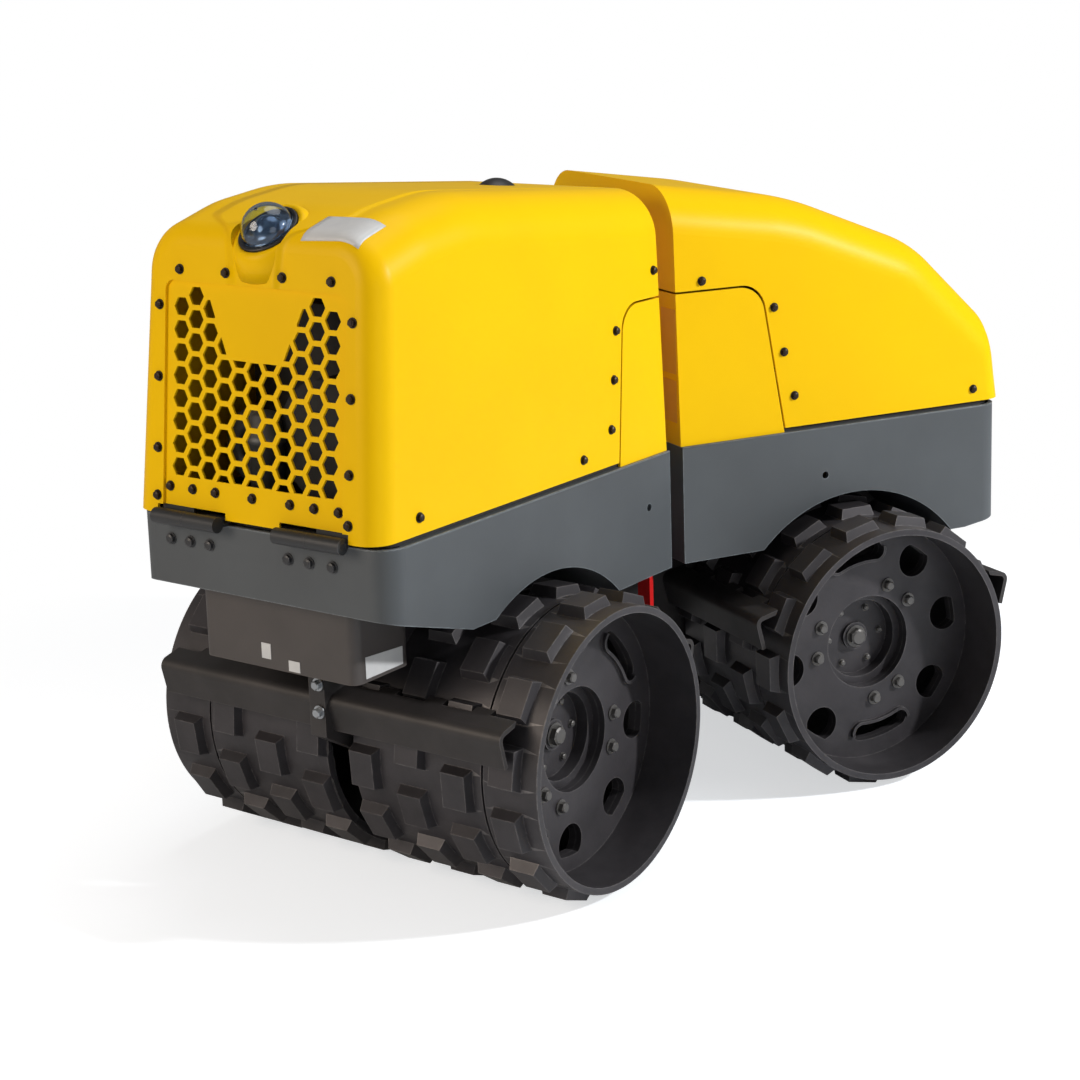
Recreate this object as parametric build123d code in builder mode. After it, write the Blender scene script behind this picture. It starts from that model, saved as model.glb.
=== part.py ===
from build123d import *
from math import atan2, cos, degrees, radians, sin, sqrt, tan
import os

os.makedirs("parts", exist_ok=True)

# Articulated trench roller with a pair of padfoot drums at each end, in millimetres.
# Each half is drawn in a frame of its own: the steering pin at the origin,
# +X out to that half's end, +Y to its left and +Z up from the ground.

# Pose and travel
steer_angle = 28.0
steer_lock = 30.0

# Main places along a half
gap_half = 84.0
axle_x = 458.0
front_turn = 188.7
rear_turn = 128.0
front_end = 868.0
rear_end = 800.0

# Plates and clearances
sheet = 8.0
shell_wall = 5.0
run_fit = 0.05
seam_gap = 4.0
seat_gap = 0.3

# Drums
drum_half_width = 410.0
drum_radius = 242.0
pad_height = 18.0
pad_reach = drum_radius + pad_height
axle_z = pad_reach
drum_wall = 14.0
drum_inner_y = 30.0
ring_groove_y = 299.0
groove_width = 4.0
rim_wall = 12.0
web_thickness = 14.0
ring_web = 12.0
web_bore = 90.0
bolt_circle = 115.0
bolt_hole = 7.0
bolt_pair_angle = 15.0
window_count = 8
window_circle = 180.0
window_radius = 28.0
window_chord = 17.0
slot_half_angle = 13.0
slot_half_width = 15.0
first_slot = 313.0
rib_height = 7.0
rib_wall = 5.0
pad_count = 14
pad_arc = 50.0
pad_width = 50.0
pad_taper = 14.0
pad_rows = 3
row_pitch = 98.0
ring_pad_y = 350.0

# Axle, hubs and carrier
axle_radius = 45.0
hub_radius = 88.0
hub_flange = 125.0
hub_flange_width = 14.0
hub_bore = 76.0
hub_depth = 24.0
hub_length = 70.0
washer_radius = 27.0
washer_height = 7.0
carrier_half = 17.0
carrier_edge = ((-286, 2), (-208, -45), (-60, -80), (60, -80), (192, -20), (292, 40), (292, 140))
boss_radius = 80.0
boss_half = 27.0

# Frame tubs
frame_half = 270.0
frame_top = 680.0
frame_corner = 42.0
rim_flange = 30.0
inner_bottom = 462.0
arch_room = 27.0
arch_radius = pad_reach + arch_room
side_hole = 7.0

# Boxes ahead of the drums
box_half = 165.0
box_setback = 32.0
box_corner = 18.0

# Hoods
hood_bottom = 688.0
hood_half = 263.0
hood_draft = 2.1
hood_overhang = 14.0
shoulder = 85.0
end_round = 42.0
gap_top = 1150.0
seam_top = 958.0
seam_round = 50.0

# Grille
hex_pitch = 37.0
hex_web = 8.5
hex_columns = 11
hex_rows = 8
grille_plate = 4.0

# Hinges of the hoods
hinge_radius = 13.0
hinge_pin = 6.0
hinge_reach = 22.0
hinge_z = 686.0
hinge_inner_y = 62.0
knuckle = 69.0
leaf = 5.0
leaf_height = 40.0
knuckle_gap = 0.5

# Hitch
hitch_z = 350.0
pin_radius = 20.0
trunnion_radius = 30.0
housing_radius = 46.0
housing_end = 156.0
lug_radius = 38.0
lug_half_height = 44.0
fork_plate = 20.0
fork_face = 44.0
fork_half = 48.0

# Steering cylinder
eye_x = 60.0
eye_y = -100.0
barrel_x = 200.0
barrel_y = 60.0
cylinder_z = 405.0
eye_radius = 20.0
eye_thick = 20.0
eye_play = 7.0
cylinder_pin = 9.0
barrel_radius = 26.0
barrel_bore = 20.0
barrel_length = 160.0
rod_radius = 9.5
rod_length = 179.0

# The origin stands on the ground below the middle of the whole machine's box.
turn_cos = cos(radians(steer_angle))
turn_sin = sin(radians(steer_angle))
hinge_outer_y = hinge_inner_y + 2 * knuckle + knuckle_gap
nose_x = front_end + hinge_reach + hinge_radius
tail_x = -turn_cos * (rear_end + hinge_reach + hinge_radius) - turn_sin * hinge_outer_y
rim_top_y = turn_sin * (axle_x + drum_radius) + turn_cos * drum_half_width
shift_x = -(nose_x + tail_x) / 2
shift_y = -(rim_top_y - drum_half_width) / 2
front_place = Location((shift_x, shift_y, 0))
rear_place = Location((shift_x, shift_y, 0), (0, 0, 180 - steer_angle))

# What differs between the halves
front = dict(end=front_end, low=505.0, end_low=566.0, slope=668.0, hole_x=70.0 + gap_half, hole_z=590.0,
             box_low=440.0, box_depth=135.0, seam_low=232.0, seam_high=197.0,
             outline=((front_end - 34, gap_top, 0.0), (front_end - 141, gap_top + 32, 250.0),
                      (front_end - 268, gap_top + 47, 400.0)))
rear = dict(end=rear_end, low=440.0, end_low=452.0, slope=715.0, hole_x=391.0, hole_z=588.0,
            box_low=392.0, box_depth=60.0, seam_low=305.0, seam_high=262.0,
            outline=((rear_end - 5, gap_top - 300, 0.0), (rear_end - 160, gap_top - 150, 250.0),
                     (rear_end - 440, gap_top - 40, 600.0)))


def tub_outline(half, inset):
    """Side view of a tub: flat top, wheel arch and a raised outer end."""
    low = inner_bottom + inset
    out = half["low"] + inset
    arch = arch_radius + inset
    x_in = axle_x - sqrt(arch**2 - (low - axle_z) ** 2)
    x_out = axle_x + sqrt(arch**2 - (out - axle_z) ** 2)
    inner = gap_half + inset
    outer = half["end"] - inset
    top = frame_top + inset
    with BuildSketch(Plane.XZ.offset(-frame_half)) as outline:
        with BuildLine():
            Polyline((x_in, low), (inner, low), (inner, top), (outer, top),
                     (outer, half["end_low"] + inset), (half["slope"], out), (x_out, out))
            ThreePointArc((x_out, out), (axle_x, axle_z + arch), (x_in, low))
        make_face()
    return outline.sketch


def tub_block(half, inset):
    """A tub's outline through its width, with the two outer corners rounded."""
    with BuildPart() as block:
        add(tub_outline(half, inset))
        extrude(amount=2 * frame_half, dir=(0, -1, 0))
        with BuildSketch():
            with Locations(((gap_half + half["end"]) / 2, 0)):
                Rectangle(half["end"] - gap_half - 2 * inset, 2 * (frame_half - inset))
            fillet(vertices().group_by(Axis.X)[-1], frame_corner - inset)
        extrude(amount=2 * frame_top, mode=Mode.INTERSECT)
    return block.part


def tub(half):
    """Open sheet tub with arches over the drums and a folded rim on three sides."""
    with BuildPart() as body:
        add(tub_block(half, 0))
        add(tub_block(half, sheet), mode=Mode.SUBTRACT)
        with BuildSketch(Plane.XY.offset(frame_top - sheet)):
            with Locations(((gap_half + half["end"] - frame_corner) / 2, 0)):
                Rectangle(half["end"] - gap_half - frame_corner, 2 * frame_half - sheet)
            with Locations(((gap_half + rim_flange + half["end"]) / 2, 0)):
                Rectangle(half["end"] - gap_half - rim_flange, 2 * (frame_half - rim_flange),
                          mode=Mode.SUBTRACT)
        extrude(amount=sheet)
        with Locations(Plane.XZ * Location((half["hole_x"], half["hole_z"]))):
            Cylinder(side_hole, 3 * frame_half, mode=Mode.SUBTRACT)
    return body.part


def hood_form(half, bottom, inset):
    """A hood's solid form, drawn in by the inset."""
    outer_x = half["end"] + hood_overhang
    face_x, face_z, r = half["outline"][0]
    low_x = outer_x + (outer_x - face_x) * (hood_bottom - bottom) / (face_z - hood_bottom)
    top_line = [(x, z) for x, z, r in half["outline"]]
    points = [(low_x, bottom)] + top_line + [(gap_half, gap_top), (gap_half, bottom)]
    rise = 2 * frame_top - bottom
    low_half = hood_half - inset + (hood_bottom - bottom) * tan(radians(hood_draft))
    top_half = low_half - rise * tan(radians(hood_draft))
    with BuildPart() as form:
        with BuildSketch(Plane.XZ.offset(-2 * hood_half)) as side:
            with BuildLine():
                Polyline(*points, close=True)
            make_face()
            for x, z, r in half["outline"]:
                if r:
                    fillet(side.vertices().sort_by_distance((x, z, 0))[0], r)
            if inset:
                offset(amount=-inset)
        extrude(amount=4 * hood_half, dir=(0, -1, 0))
        with BuildSketch(Plane.YZ):
            with BuildLine():
                Polyline((-low_half, bottom), (low_half, bottom), (top_half, bottom + rise),
                         (-top_half, bottom + rise), close=True)
            make_face()
        extrude(amount=2 * half["end"], mode=Mode.INTERSECT)
        low = bottom + inset
        tops = [e for e in form.edges() if abs(e.center().Y) > hood_half - 60
                and e.bounding_box().min.Z > low + 1 and e.bounding_box().size.X > 5]
        fillet(tops, shoulder - inset)
        end_face = form.faces().sort_by(Axis.X)[-1]
        fillet([e for e in end_face.edges() if e.bounding_box().max.Z > low + 5], end_round - inset)
    return form.part


def seam_region(half, gap, bottom):
    """Side view of the fixed corner panel, let out by the gap."""
    lean = (half["seam_high"] - half["seam_low"]) / (seam_top - frame_top)
    low_x = half["seam_low"] + lean * (bottom - frame_top) + gap
    high_x = half["seam_high"] + lean * gap + gap
    with BuildSketch(Plane.XZ.offset(-2 * hood_half)) as region:
        with BuildLine():
            Polyline((0, bottom), (low_x, bottom), (high_x, seam_top + gap), (0, seam_top + gap), close=True)
        make_face()
        fillet(region.vertices().sort_by_distance((half["seam_high"], seam_top, 0))[0], seam_round)
    return region.sketch


def end_plane(half):
    """Plane on a hood's sloping end, with its x along +Y and its y up the slope."""
    x, z, r = half["outline"][0]
    run = half["end"] + hood_overhang - x
    rise = z - hood_bottom
    return Plane(origin=(half["end"] + hood_overhang, 0, hood_bottom), x_dir=(0, 1, 0), z_dir=(rise, 0, run))


def hinge_spots(inner, length):
    """Middles of a stretch of both hinges, left and right."""
    return (inner + length / 2, -inner - length / 2)


def notch_hinges(half):
    """Cut the room that a hood or grille leaves round the barrels."""
    knuckles = hinge_spots(hinge_inner_y, 2 * knuckle)
    with Locations(*[(half["end"] + hinge_reach, y, hinge_z) for y in knuckles]):
        Box(4 * hinge_radius, 2 * knuckle + 2 * seam_gap, 2 * (hinge_radius + seam_gap), mode=Mode.SUBTRACT)


def bulkhead(half):
    """Fixed corner panel with both cheeks and the wall to the gap."""
    with BuildPart() as panel:
        add(hood_form(half, frame_top, 0))
        add(hood_form(half, frame_top - 60, shell_wall), mode=Mode.SUBTRACT)
        add(seam_region(half, 0, frame_top))
        extrude(amount=4 * hood_half, dir=(0, -1, 0), mode=Mode.INTERSECT)
    return panel.part


# Front frame tub, open on top
front_tub = tub(front)
rear_tub = tub(rear)

# Fixed corner panels beside the gap
front_panel = bulkhead(front)
rear_panel = bulkhead(rear)


def hood(half):
    """Hinged hood shell: open below, its inner end cut away round the corner panel."""
    with BuildPart() as shell:
        add(hood_form(half, hood_bottom, 0))
        add(hood_form(half, hood_bottom - 60, shell_wall), mode=Mode.SUBTRACT)
        add(seam_region(half, seam_gap, frame_top - 60))
        extrude(amount=4 * hood_half, dir=(0, -1, 0), mode=Mode.SUBTRACT)
        notch_hinges(half)
    return shell.part


# Receiver eye on the front hood's upper edge
eye_tilt = 42.0
eye_floor = 58.0
eye_back = 73.0
eye_drop = 15.0
eye_plane = Plane(origin=(front_end - eye_back, 0, gap_top - eye_drop), x_dir=(0, 1, 0),
                  z_dir=(cos(radians(eye_tilt)), 0, sin(radians(eye_tilt))))
dome_radius = 48.0
dome_height = 46.0
dome_wall = 3.0
low_dome_radius = 32.0
low_dome_height = 13.0

# Hexagon field of the grille, measured up the slope
opening_half = 192.0
opening_top = 380.0
opening_round = 16.0
field_low = 64.0
field_top = 374.0
first_row = 79.4
blank_top_half = 108.0
blank_low_half = 57.0
blank_low = 261.0
plate_half = 203.0
front_face = end_plane(front)
column_step = hex_pitch * sqrt(3) / 2
hex_inradius = (hex_pitch - hex_web) / 2

# Front hood with the opening for its grille and the sunk floor of the eye
with BuildPart() as front_hood:
    add(hood(front))
    with BuildSketch(front_face.offset(-2 * shell_wall)):
        with Locations((0, (opening_top - seam_gap) / 2)):
            Rectangle(2 * opening_half, opening_top + seam_gap)
        fillet(vertices().group_by(Axis.Y)[-1], opening_round)
    extrude(amount=4 * shell_wall, mode=Mode.SUBTRACT)
    with BuildSketch(eye_plane.offset(-shell_wall)):
        Circle(eye_floor + 2 * shell_wall)
    cup = extrude(amount=6 * shell_wall, mode=Mode.PRIVATE)
    add(cup & hood_form(front, hood_bottom, 0))
    with BuildSketch(eye_plane):
        Circle(eye_floor)
    extrude(amount=60, mode=Mode.SUBTRACT)

# Rear hood
with BuildPart() as rear_hood:
    add(hood(rear))

# Grille plate behind the opening, its hexagons cut off along the bare middle field
with BuildPart() as grille:
    with BuildSketch(front_face.offset(-shell_wall - grille_plate)):
        with Locations((0, (opening_top + 12) / 2)):
            Rectangle(2 * plate_half, opening_top + 12 - 8)
    extrude(amount=grille_plate)
    with BuildSketch(front_face.offset(-4 * shell_wall)):
        for column in range(hex_columns):
            odd = column % 2
            for row in range(hex_rows + odd):
                with Locations(((column - (hex_columns - 1) / 2) * column_step,
                                first_row + (row - odd / 2) * hex_pitch)):
                    RegularPolygon(hex_inradius, 6, major_radius=False)
        with Locations((0, (field_low + field_top) / 2)):
            Rectangle(2 * plate_half, field_top - field_low, mode=Mode.INTERSECT)
        with BuildLine():
            Polyline((-blank_low_half, blank_low), (blank_low_half, blank_low),
                     (blank_top_half, field_top + 1),
                     (-blank_top_half, field_top + 1), close=True)
        make_face(mode=Mode.SUBTRACT)
    extrude(amount=5 * shell_wall, mode=Mode.SUBTRACT)
    notch_hinges(front)

# Clear dome of the eye, open inside, and the sensor ring under it
with BuildPart() as eye_dome:
    with Locations((0, 0, dome_height - dome_radius)):
        Sphere(dome_radius)
        Sphere(dome_radius - dome_wall, mode=Mode.SUBTRACT)
    split(bisect_by=Plane.XY)
with BuildPart() as eye_core:
    Cylinder(40, 6, align=(Align.CENTER, Align.CENTER, Align.MIN))
    with Locations((0, 0, 6)):
        Cylinder(17, 16, align=(Align.CENTER, Align.CENTER, Align.MIN))
        Cylinder(11, 16, align=(Align.CENTER, Align.CENTER, Align.MIN), mode=Mode.SUBTRACT)

# Low dome on the top of each hood
low_dome_sphere = (low_dome_radius**2 + low_dome_height**2) / (2 * low_dome_height)
with BuildPart() as low_dome:
    with Locations((0, 0, low_dome_height - low_dome_sphere)):
        Sphere(low_dome_sphere)
    split(bisect_by=Plane.XY)


def top_place(a, b, x):
    """Place on a hood's top, on the straight stretch from a to b."""
    slope = (b[1] - a[1]) / (b[0] - a[0])
    height = a[1] + slope * (x - a[0])
    return Plane(origin=(x, 0, height), x_dir=(1, 0, slope), z_dir=(-slope, 0, 1)).location


front_dome_x = 215.0
rear_dome_x = 560.0
front_dome_place = top_place((gap_half, gap_top), front["outline"][2], front_dome_x)
rear_dome_place = top_place(rear["outline"][2], rear["outline"][1], rear_dome_x)


# Pads stand in staggered rows, each a tapered block on the drum's tube
def pads(rows, first):
    """Places about the drum's axis for the pads of each row; odd rows are half a step on."""
    places = []
    for row, y in enumerate(rows):
        for i in range(pad_count):
            angle = 360.0 / pad_count * (i + 0.5 * ((row + first) % 2))
            places.append(Location((0, 0, 0), (0, angle, 0)) * Location((0, y, 0)))
    return places


def polar(radius, angle):
    return (radius * cos(radians(angle)), radius * sin(radians(angle)))


def slot_line(turn):
    """Middle line of a long slot."""
    return Edge.make_circle(window_circle, start_angle=turn - slot_half_angle,
                            end_angle=turn + slot_half_angle)


def web_holes(y):
    """Holes of a web: bolt pairs, round windows cut off outside and two long slots."""
    with BuildSketch(Plane.XZ.offset(-y)) as holes:
        for i in range(window_count):
            turn = first_slot + 360.0 / window_count * i
            if i % 4 == 0:
                SlotArc(slot_line(turn), 2 * slot_half_width)
            else:
                with Locations(polar(window_circle, turn)):
                    Circle(window_radius)
        Circle(window_circle + window_chord, mode=Mode.INTERSECT)
        for i in range(3):
            for side in (-1, 1):
                with Locations(polar(bolt_circle, 120.0 * i + side * bolt_pair_angle)):
                    Circle(bolt_hole)
    return holes.sketch


pad_root = drum_radius - 8
pad_top_half = pad_arc / 2 - (pad_reach - pad_root) * tan(radians(pad_taper))
pad_top = sqrt(pad_reach**2 - pad_top_half**2)
row_places = [ring_pad_y - row_pitch * (pad_rows - i) for i in range(pad_rows)]
with BuildPart() as pad:
    with BuildSketch(Plane.XY.offset(pad_root)):
        Rectangle(pad_arc, pad_width)
    extrude(amount=pad_top - pad_root, taper=pad_taper)

# Inner drum: a thick tube with its web at the outer end
with BuildPart() as drum:
    with BuildSketch():
        with BuildLine():
            Polyline((drum_radius - drum_wall, drum_inner_y), (drum_radius, drum_inner_y),
                     (drum_radius, ring_groove_y), (web_bore, ring_groove_y),
                     (web_bore, ring_groove_y - web_thickness),
                     (drum_radius - drum_wall, ring_groove_y - web_thickness), close=True)
        make_face()
    revolve(axis=Axis.Y)
    with Locations(*pads(row_places, 0)):
        add(pad.part)
    extrude(web_holes(ring_groove_y + 1), amount=web_thickness + 2, dir=(0, -1, 0), mode=Mode.SUBTRACT)

# Outer ring with its own web, a row of pads, a smooth rim and a rib along each long slot
ring_start = ring_groove_y + groove_width
ring_web_y = ring_groove_y + ring_web
spigot = drum_radius - drum_wall - seat_gap
with BuildPart() as ring:
    with BuildSketch():
        with BuildLine():
            Polyline((web_bore, ring_groove_y), (spigot, ring_groove_y), (spigot, ring_start),
                     (drum_radius, ring_start), (drum_radius, drum_half_width),
                     (drum_radius - rim_wall, drum_half_width), (drum_radius - rim_wall, ring_web_y),
                     (web_bore, ring_web_y), close=True)
        make_face()
    revolve(axis=Axis.Y)
    with Locations(*pads([ring_pad_y], 1)):
        add(pad.part)
    with BuildSketch(Plane.XZ.offset(-ring_web_y - rib_height)) as ribs:
        for turn in (first_slot, first_slot + 180):
            SlotArc(slot_line(turn), 2 * (slot_half_width + rib_wall))
        Circle(window_circle + slot_half_width / 2, mode=Mode.INTERSECT)
    extrude(ribs.sketch, amount=rib_height, dir=(0, -1, 0))
    extrude(web_holes(ring_web_y + rib_height + 1), amount=ring_web + rib_height + 2, dir=(0, -1, 0),
            mode=Mode.SUBTRACT)

# Axle that carries both drums: shaft, hub bodies, flanges and end screws
hub_end = ring_groove_y - web_thickness
hub_start = hub_end - hub_length
with BuildPart() as axle:
    with BuildSketch():
        with BuildLine():
            Polyline((0, 0), (axle_radius, 0), (axle_radius, hub_start), (hub_radius, hub_start),
                     (hub_radius, hub_end - hub_flange_width), (hub_flange, hub_end - hub_flange_width),
                     (hub_flange, hub_end), (hub_bore, hub_end), (hub_bore, hub_end - hub_depth),
                     (washer_radius, hub_end - hub_depth),
                     (washer_radius, hub_end - hub_depth + washer_height),
                     (0, hub_end - hub_depth + washer_height), close=True)
        make_face()
    revolve(axis=Axis.Y)
    mirror(about=Plane.XZ)


def lower_box(half):
    """Closed box below a tub's outer end, up to the tub's floor."""
    x_out = half["end"] - box_setback
    x_in = x_out - half["box_depth"]
    with BuildPart() as box:
        with BuildSketch(Plane.XY.offset(half["box_low"])):
            with Locations(((x_in + x_out) / 2, 0)):
                RectangleRounded(x_out - x_in, 2 * box_half, box_corner)
        extrude(amount=frame_top - half["box_low"])
        add(tub_block(half, 0), mode=Mode.SUBTRACT)
    return box.part


def carrier(half):
    """Plate under a tub that carries the axle, with its boss; it ends at the box."""
    box_in = half["end"] - box_setback - half["box_depth"]
    over = half["box_low"] + 20
    points = [(gap_half, frame_top - 200), (gap_half, hitch_z - 88)]
    points += [(axle_x + x, axle_z + z) for x, z in carrier_edge]
    points += [(box_in + 40, over), (box_in + 40, frame_top - 100), (gap_half, frame_top - 100)]
    with BuildPart() as plate:
        with BuildSketch(Plane.XZ.offset(-carrier_half)):
            with BuildLine():
                Polyline(*points, close=True)
            make_face()
        extrude(amount=2 * carrier_half, dir=(0, -1, 0))
        with Locations(Location((axle_x, 0, axle_z), (90, 0, 0))):
            Cylinder(boss_radius, 2 * boss_half)
        add(tub_block(half, 0), mode=Mode.SUBTRACT)
        with Locations(((half["end"] - box_setback + box_in) / 2, 0, (frame_top + half["box_low"]) / 2)):
            Box(half["box_depth"], 2 * box_half, frame_top - half["box_low"], mode=Mode.SUBTRACT)
        with Locations(Location((axle_x, 0, axle_z), (90, 0, 0))):
            Cylinder(axle_radius + run_fit, 4 * boss_half, mode=Mode.SUBTRACT)
    return plate.part


# Front carrier with the housing of the hitch's trunnion, open behind it for the retaining disc
disc_room = 18.0
with BuildPart() as front_carrier:
    add(carrier(front))
    with Locations(Location((gap_half, 0, hitch_z), (0, 90, 0))):
        Cylinder(housing_radius, housing_end - gap_half, align=(Align.CENTER, Align.CENTER, Align.MIN))
        Cylinder(trunnion_radius + run_fit, housing_end - gap_half,
                 align=(Align.CENTER, Align.CENTER, Align.MIN),
                 mode=Mode.SUBTRACT)
    with Locations(Location((housing_end, 0, hitch_z), (0, 90, 0))):
        Cylinder(housing_radius - 3, disc_room, align=(Align.CENTER, Align.CENTER, Align.MIN),
                 mode=Mode.SUBTRACT)

# Rear carrier with the lug of the steering pin and the cylinder's bracket
ear = 8.0
ear_gap = eye_thick / 2 + 1
bracket_y = 28.0
with BuildPart() as rear_carrier:
    add(carrier(rear))
    with Locations((0, 0, hitch_z)):
        Cylinder(lug_radius, 2 * lug_half_height)
    with Locations((gap_half / 2, 0, hitch_z)):
        Box(gap_half, 2 * carrier_half, 2 * (lug_half_height - 2))
    with Locations((0, 0, hitch_z)):
        Cylinder(pin_radius + run_fit, 3 * lug_half_height, mode=Mode.SUBTRACT)
    for z in (cylinder_z + ear_gap, cylinder_z - ear_gap - ear):
        with BuildSketch(Plane.XY.offset(z)):
            with Locations((barrel_x, barrel_y)):
                Circle(eye_radius)
            with Locations((barrel_x, (bracket_y + barrel_y) / 2)):
                Rectangle(2 * eye_radius, barrel_y - bracket_y)
        extrude(amount=ear)
    wall_low = cylinder_z - ear_gap - ear
    with Locations((barrel_x, (carrier_half + bracket_y + ear) / 2, (wall_low + inner_bottom) / 2)):
        Box(2 * eye_radius, bracket_y + ear - carrier_half, inner_bottom - wall_low)
    with Locations((barrel_x, barrel_y, cylinder_z)):
        Cylinder(cylinder_pin, 2 * ear_gap)

# Scraper bars, one before and one behind each drum, notched for the rows of pads
scraper_tip_in = 38.0
scraper_fold_out = 22.0
scraper_foot_out = 8.0
scraper_path = ((pad_reach - scraper_tip_in, 118.0), (pad_reach + scraper_fold_out, 104.0),
                (pad_reach + scraper_foot_out, 48.0))
scraper_bend = 12.0
scraper_plate = 8.0
scraper_end = 372.0
pad_room = 6.0
with BuildPart() as scrapers:
    with BuildSketch(Plane.XZ.offset(-scraper_end)) as bar:
        with BuildLine() as path:
            FilletPolyline(*scraper_path, radius=scraper_bend)
        trace(path.line, scraper_plate)
    extrude(bar.sketch, amount=scraper_end - carrier_half, dir=(0, -1, 0))
    mirror(about=Plane.YZ)
    for y in row_places + [ring_pad_y]:
        with Locations(Location((0, y, 0), (90, 0, 0))):
            Cylinder(pad_reach + pad_room, pad_width + 2 * pad_room, mode=Mode.SUBTRACT)
    mirror(about=Plane.XZ)

# Hitch link: trunnion that lets the halves roll, fork of the steering pin and the cylinder's arm
fork_low = hitch_z - lug_half_height - 1 - fork_plate
fork_high = hitch_z + lug_half_height + 1
arm_radius = 22.0
disc_radius = 40.0
disc = 8.0
with BuildPart() as hitch_link:
    with Locations(Location((fork_face + fork_plate, 0, hitch_z), (0, 90, 0))):
        Cylinder(trunnion_radius, housing_end + 2 - fork_face - fork_plate,
                 align=(Align.CENTER, Align.CENTER, Align.MIN))
    with Locations(Location((housing_end + 2, 0, hitch_z), (0, 90, 0))):
        Cylinder(disc_radius, disc, align=(Align.CENTER, Align.CENTER, Align.MIN))
    web_high = cylinder_z + ear_gap + ear
    with Locations((fork_face + fork_plate / 2, 0, (fork_low + web_high) / 2)):
        Box(fork_plate, 2 * fork_half, web_high - fork_low)
    for z in (fork_low, fork_high):
        with BuildSketch(Plane.XY.offset(z)):
            Circle(lug_radius)
            with Locations((fork_face / 2, 0)):
                Rectangle(fork_face, 2 * lug_radius)
        extrude(amount=fork_plate)
    for z in (cylinder_z + ear_gap, cylinder_z - ear_gap - ear):
        with BuildSketch(Plane.XY.offset(z)):
            with Locations((eye_x, eye_y)):
                Circle(arm_radius)
            with Locations((fork_face + fork_plate / 2, (eye_y - fork_half) / 2)):
                Rectangle(fork_plate, -eye_y - fork_half)
            make_hull()
        extrude(amount=ear)
    with Locations((eye_x, eye_y, cylinder_z)):
        Cylinder(cylinder_pin, 2 * ear_gap)
    with Locations((0, 0, hitch_z)):
        Cylinder(pin_radius + run_fit, 4 * lug_half_height, mode=Mode.SUBTRACT)

# Steering pin with its head below
head = 8.0
with BuildPart() as steering_pin:
    with Locations((0, 0, fork_low - head)):
        Cylinder(pin_radius + head, head - seat_gap, align=(Align.CENTER, Align.CENTER, Align.MIN))
        Cylinder(pin_radius, fork_high + fork_plate - 2 - fork_low + head,
                 align=(Align.CENTER, Align.CENTER, Align.MIN))

# Lifting eye that stands on the hitch and comes up between the halves
eye_plate_half = 10.0
lift_width = 38.0
lift_top = 905.0
lift_bore = 22.0
with BuildPart() as lifting_eye:
    with BuildSketch(Plane.XZ.offset(-eye_plate_half)):
        with Locations((0, lift_top - lift_width)):
            Circle(lift_width)
        with Locations((0, (fork_high + fork_plate + lift_top - lift_width) / 2)):
            Rectangle(2 * lift_width, lift_top - lift_width - fork_high - fork_plate)
        with Locations((0, lift_top - lift_width)):
            Circle(lift_bore, mode=Mode.SUBTRACT)
    extrude(amount=2 * eye_plate_half)

# Steering cylinder in a frame of its own: barrel's pin at the origin, rod out along +X
barrel_start = 22.0
barrel_floor = 6.0
gland_wall = 0.3
with BuildPart() as steering_barrel:
    Cylinder(eye_radius, eye_thick)
    with Locations((barrel_start / 2 + 2, 0, 0)):
        Box(barrel_start + 4, eye_thick, eye_thick)
    with Locations(Location((barrel_start, 0, 0), (0, 90, 0))):
        Cylinder(barrel_radius, barrel_length - barrel_start, align=(Align.CENTER, Align.CENTER, Align.MIN))
    with Locations(Location((barrel_start + barrel_floor, 0, 0), (0, 90, 0))):
        Cylinder(barrel_bore, barrel_length, align=(Align.CENTER, Align.CENTER, Align.MIN),
                 mode=Mode.SUBTRACT)
    Cylinder(cylinder_pin + run_fit, 2 * eye_thick, mode=Mode.SUBTRACT)

# Rod with its piston and an eye that is larger than its pin
piston = 18.0
eye_ring = 26.0
piston_gap = 0.1
eye_at_x = -(turn_cos * eye_x) + turn_sin * eye_y
eye_at_y = -turn_sin * eye_x - turn_cos * eye_y
reach = sqrt((eye_at_x - barrel_x) ** 2 + (eye_at_y - barrel_y) ** 2)
swing = degrees(atan2(eye_at_y - barrel_y, eye_at_x - barrel_x))
with BuildPart() as steering_rod:
    with Locations((reach, 0, 0)):
        Cylinder(eye_ring, eye_thick)
    with Locations(Location((reach - rod_length, 0, 0), (0, 90, 0))):
        Cylinder(rod_radius, rod_length, align=(Align.CENTER, Align.CENTER, Align.MIN))
        Cylinder(barrel_bore - piston_gap, piston, align=(Align.CENTER, Align.CENTER, Align.MIN))
    with Locations((reach, 0, 0)):
        Cylinder(cylinder_pin + eye_play, 2 * eye_thick, mode=Mode.SUBTRACT)


def hinge_frame(half):
    """Inner barrels of both hinges on the tub, with leaves inside its wall and pins to both sides."""
    x = half["end"] + hinge_reach
    back = half["end"] - sheet - leaf
    with BuildPart() as fixed:
        for y in hinge_spots(hinge_inner_y, knuckle):
            with Locations(Location((x, y, hinge_z), (90, 0, 0))):
                Cylinder(hinge_radius, knuckle)
            with Locations(((x + back) / 2, y, frame_top + leaf / 2)):
                Box(x - back, knuckle, leaf)
            with Locations((back + leaf / 2, y, frame_top - leaf_height / 2)):
                Box(leaf, knuckle, leaf_height)
        for y in hinge_spots(hinge_inner_y, 2 * knuckle):
            with Locations(Location((x, y, hinge_z), (90, 0, 0))):
                Cylinder(hinge_pin, 2 * knuckle)
    return fixed.part


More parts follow.
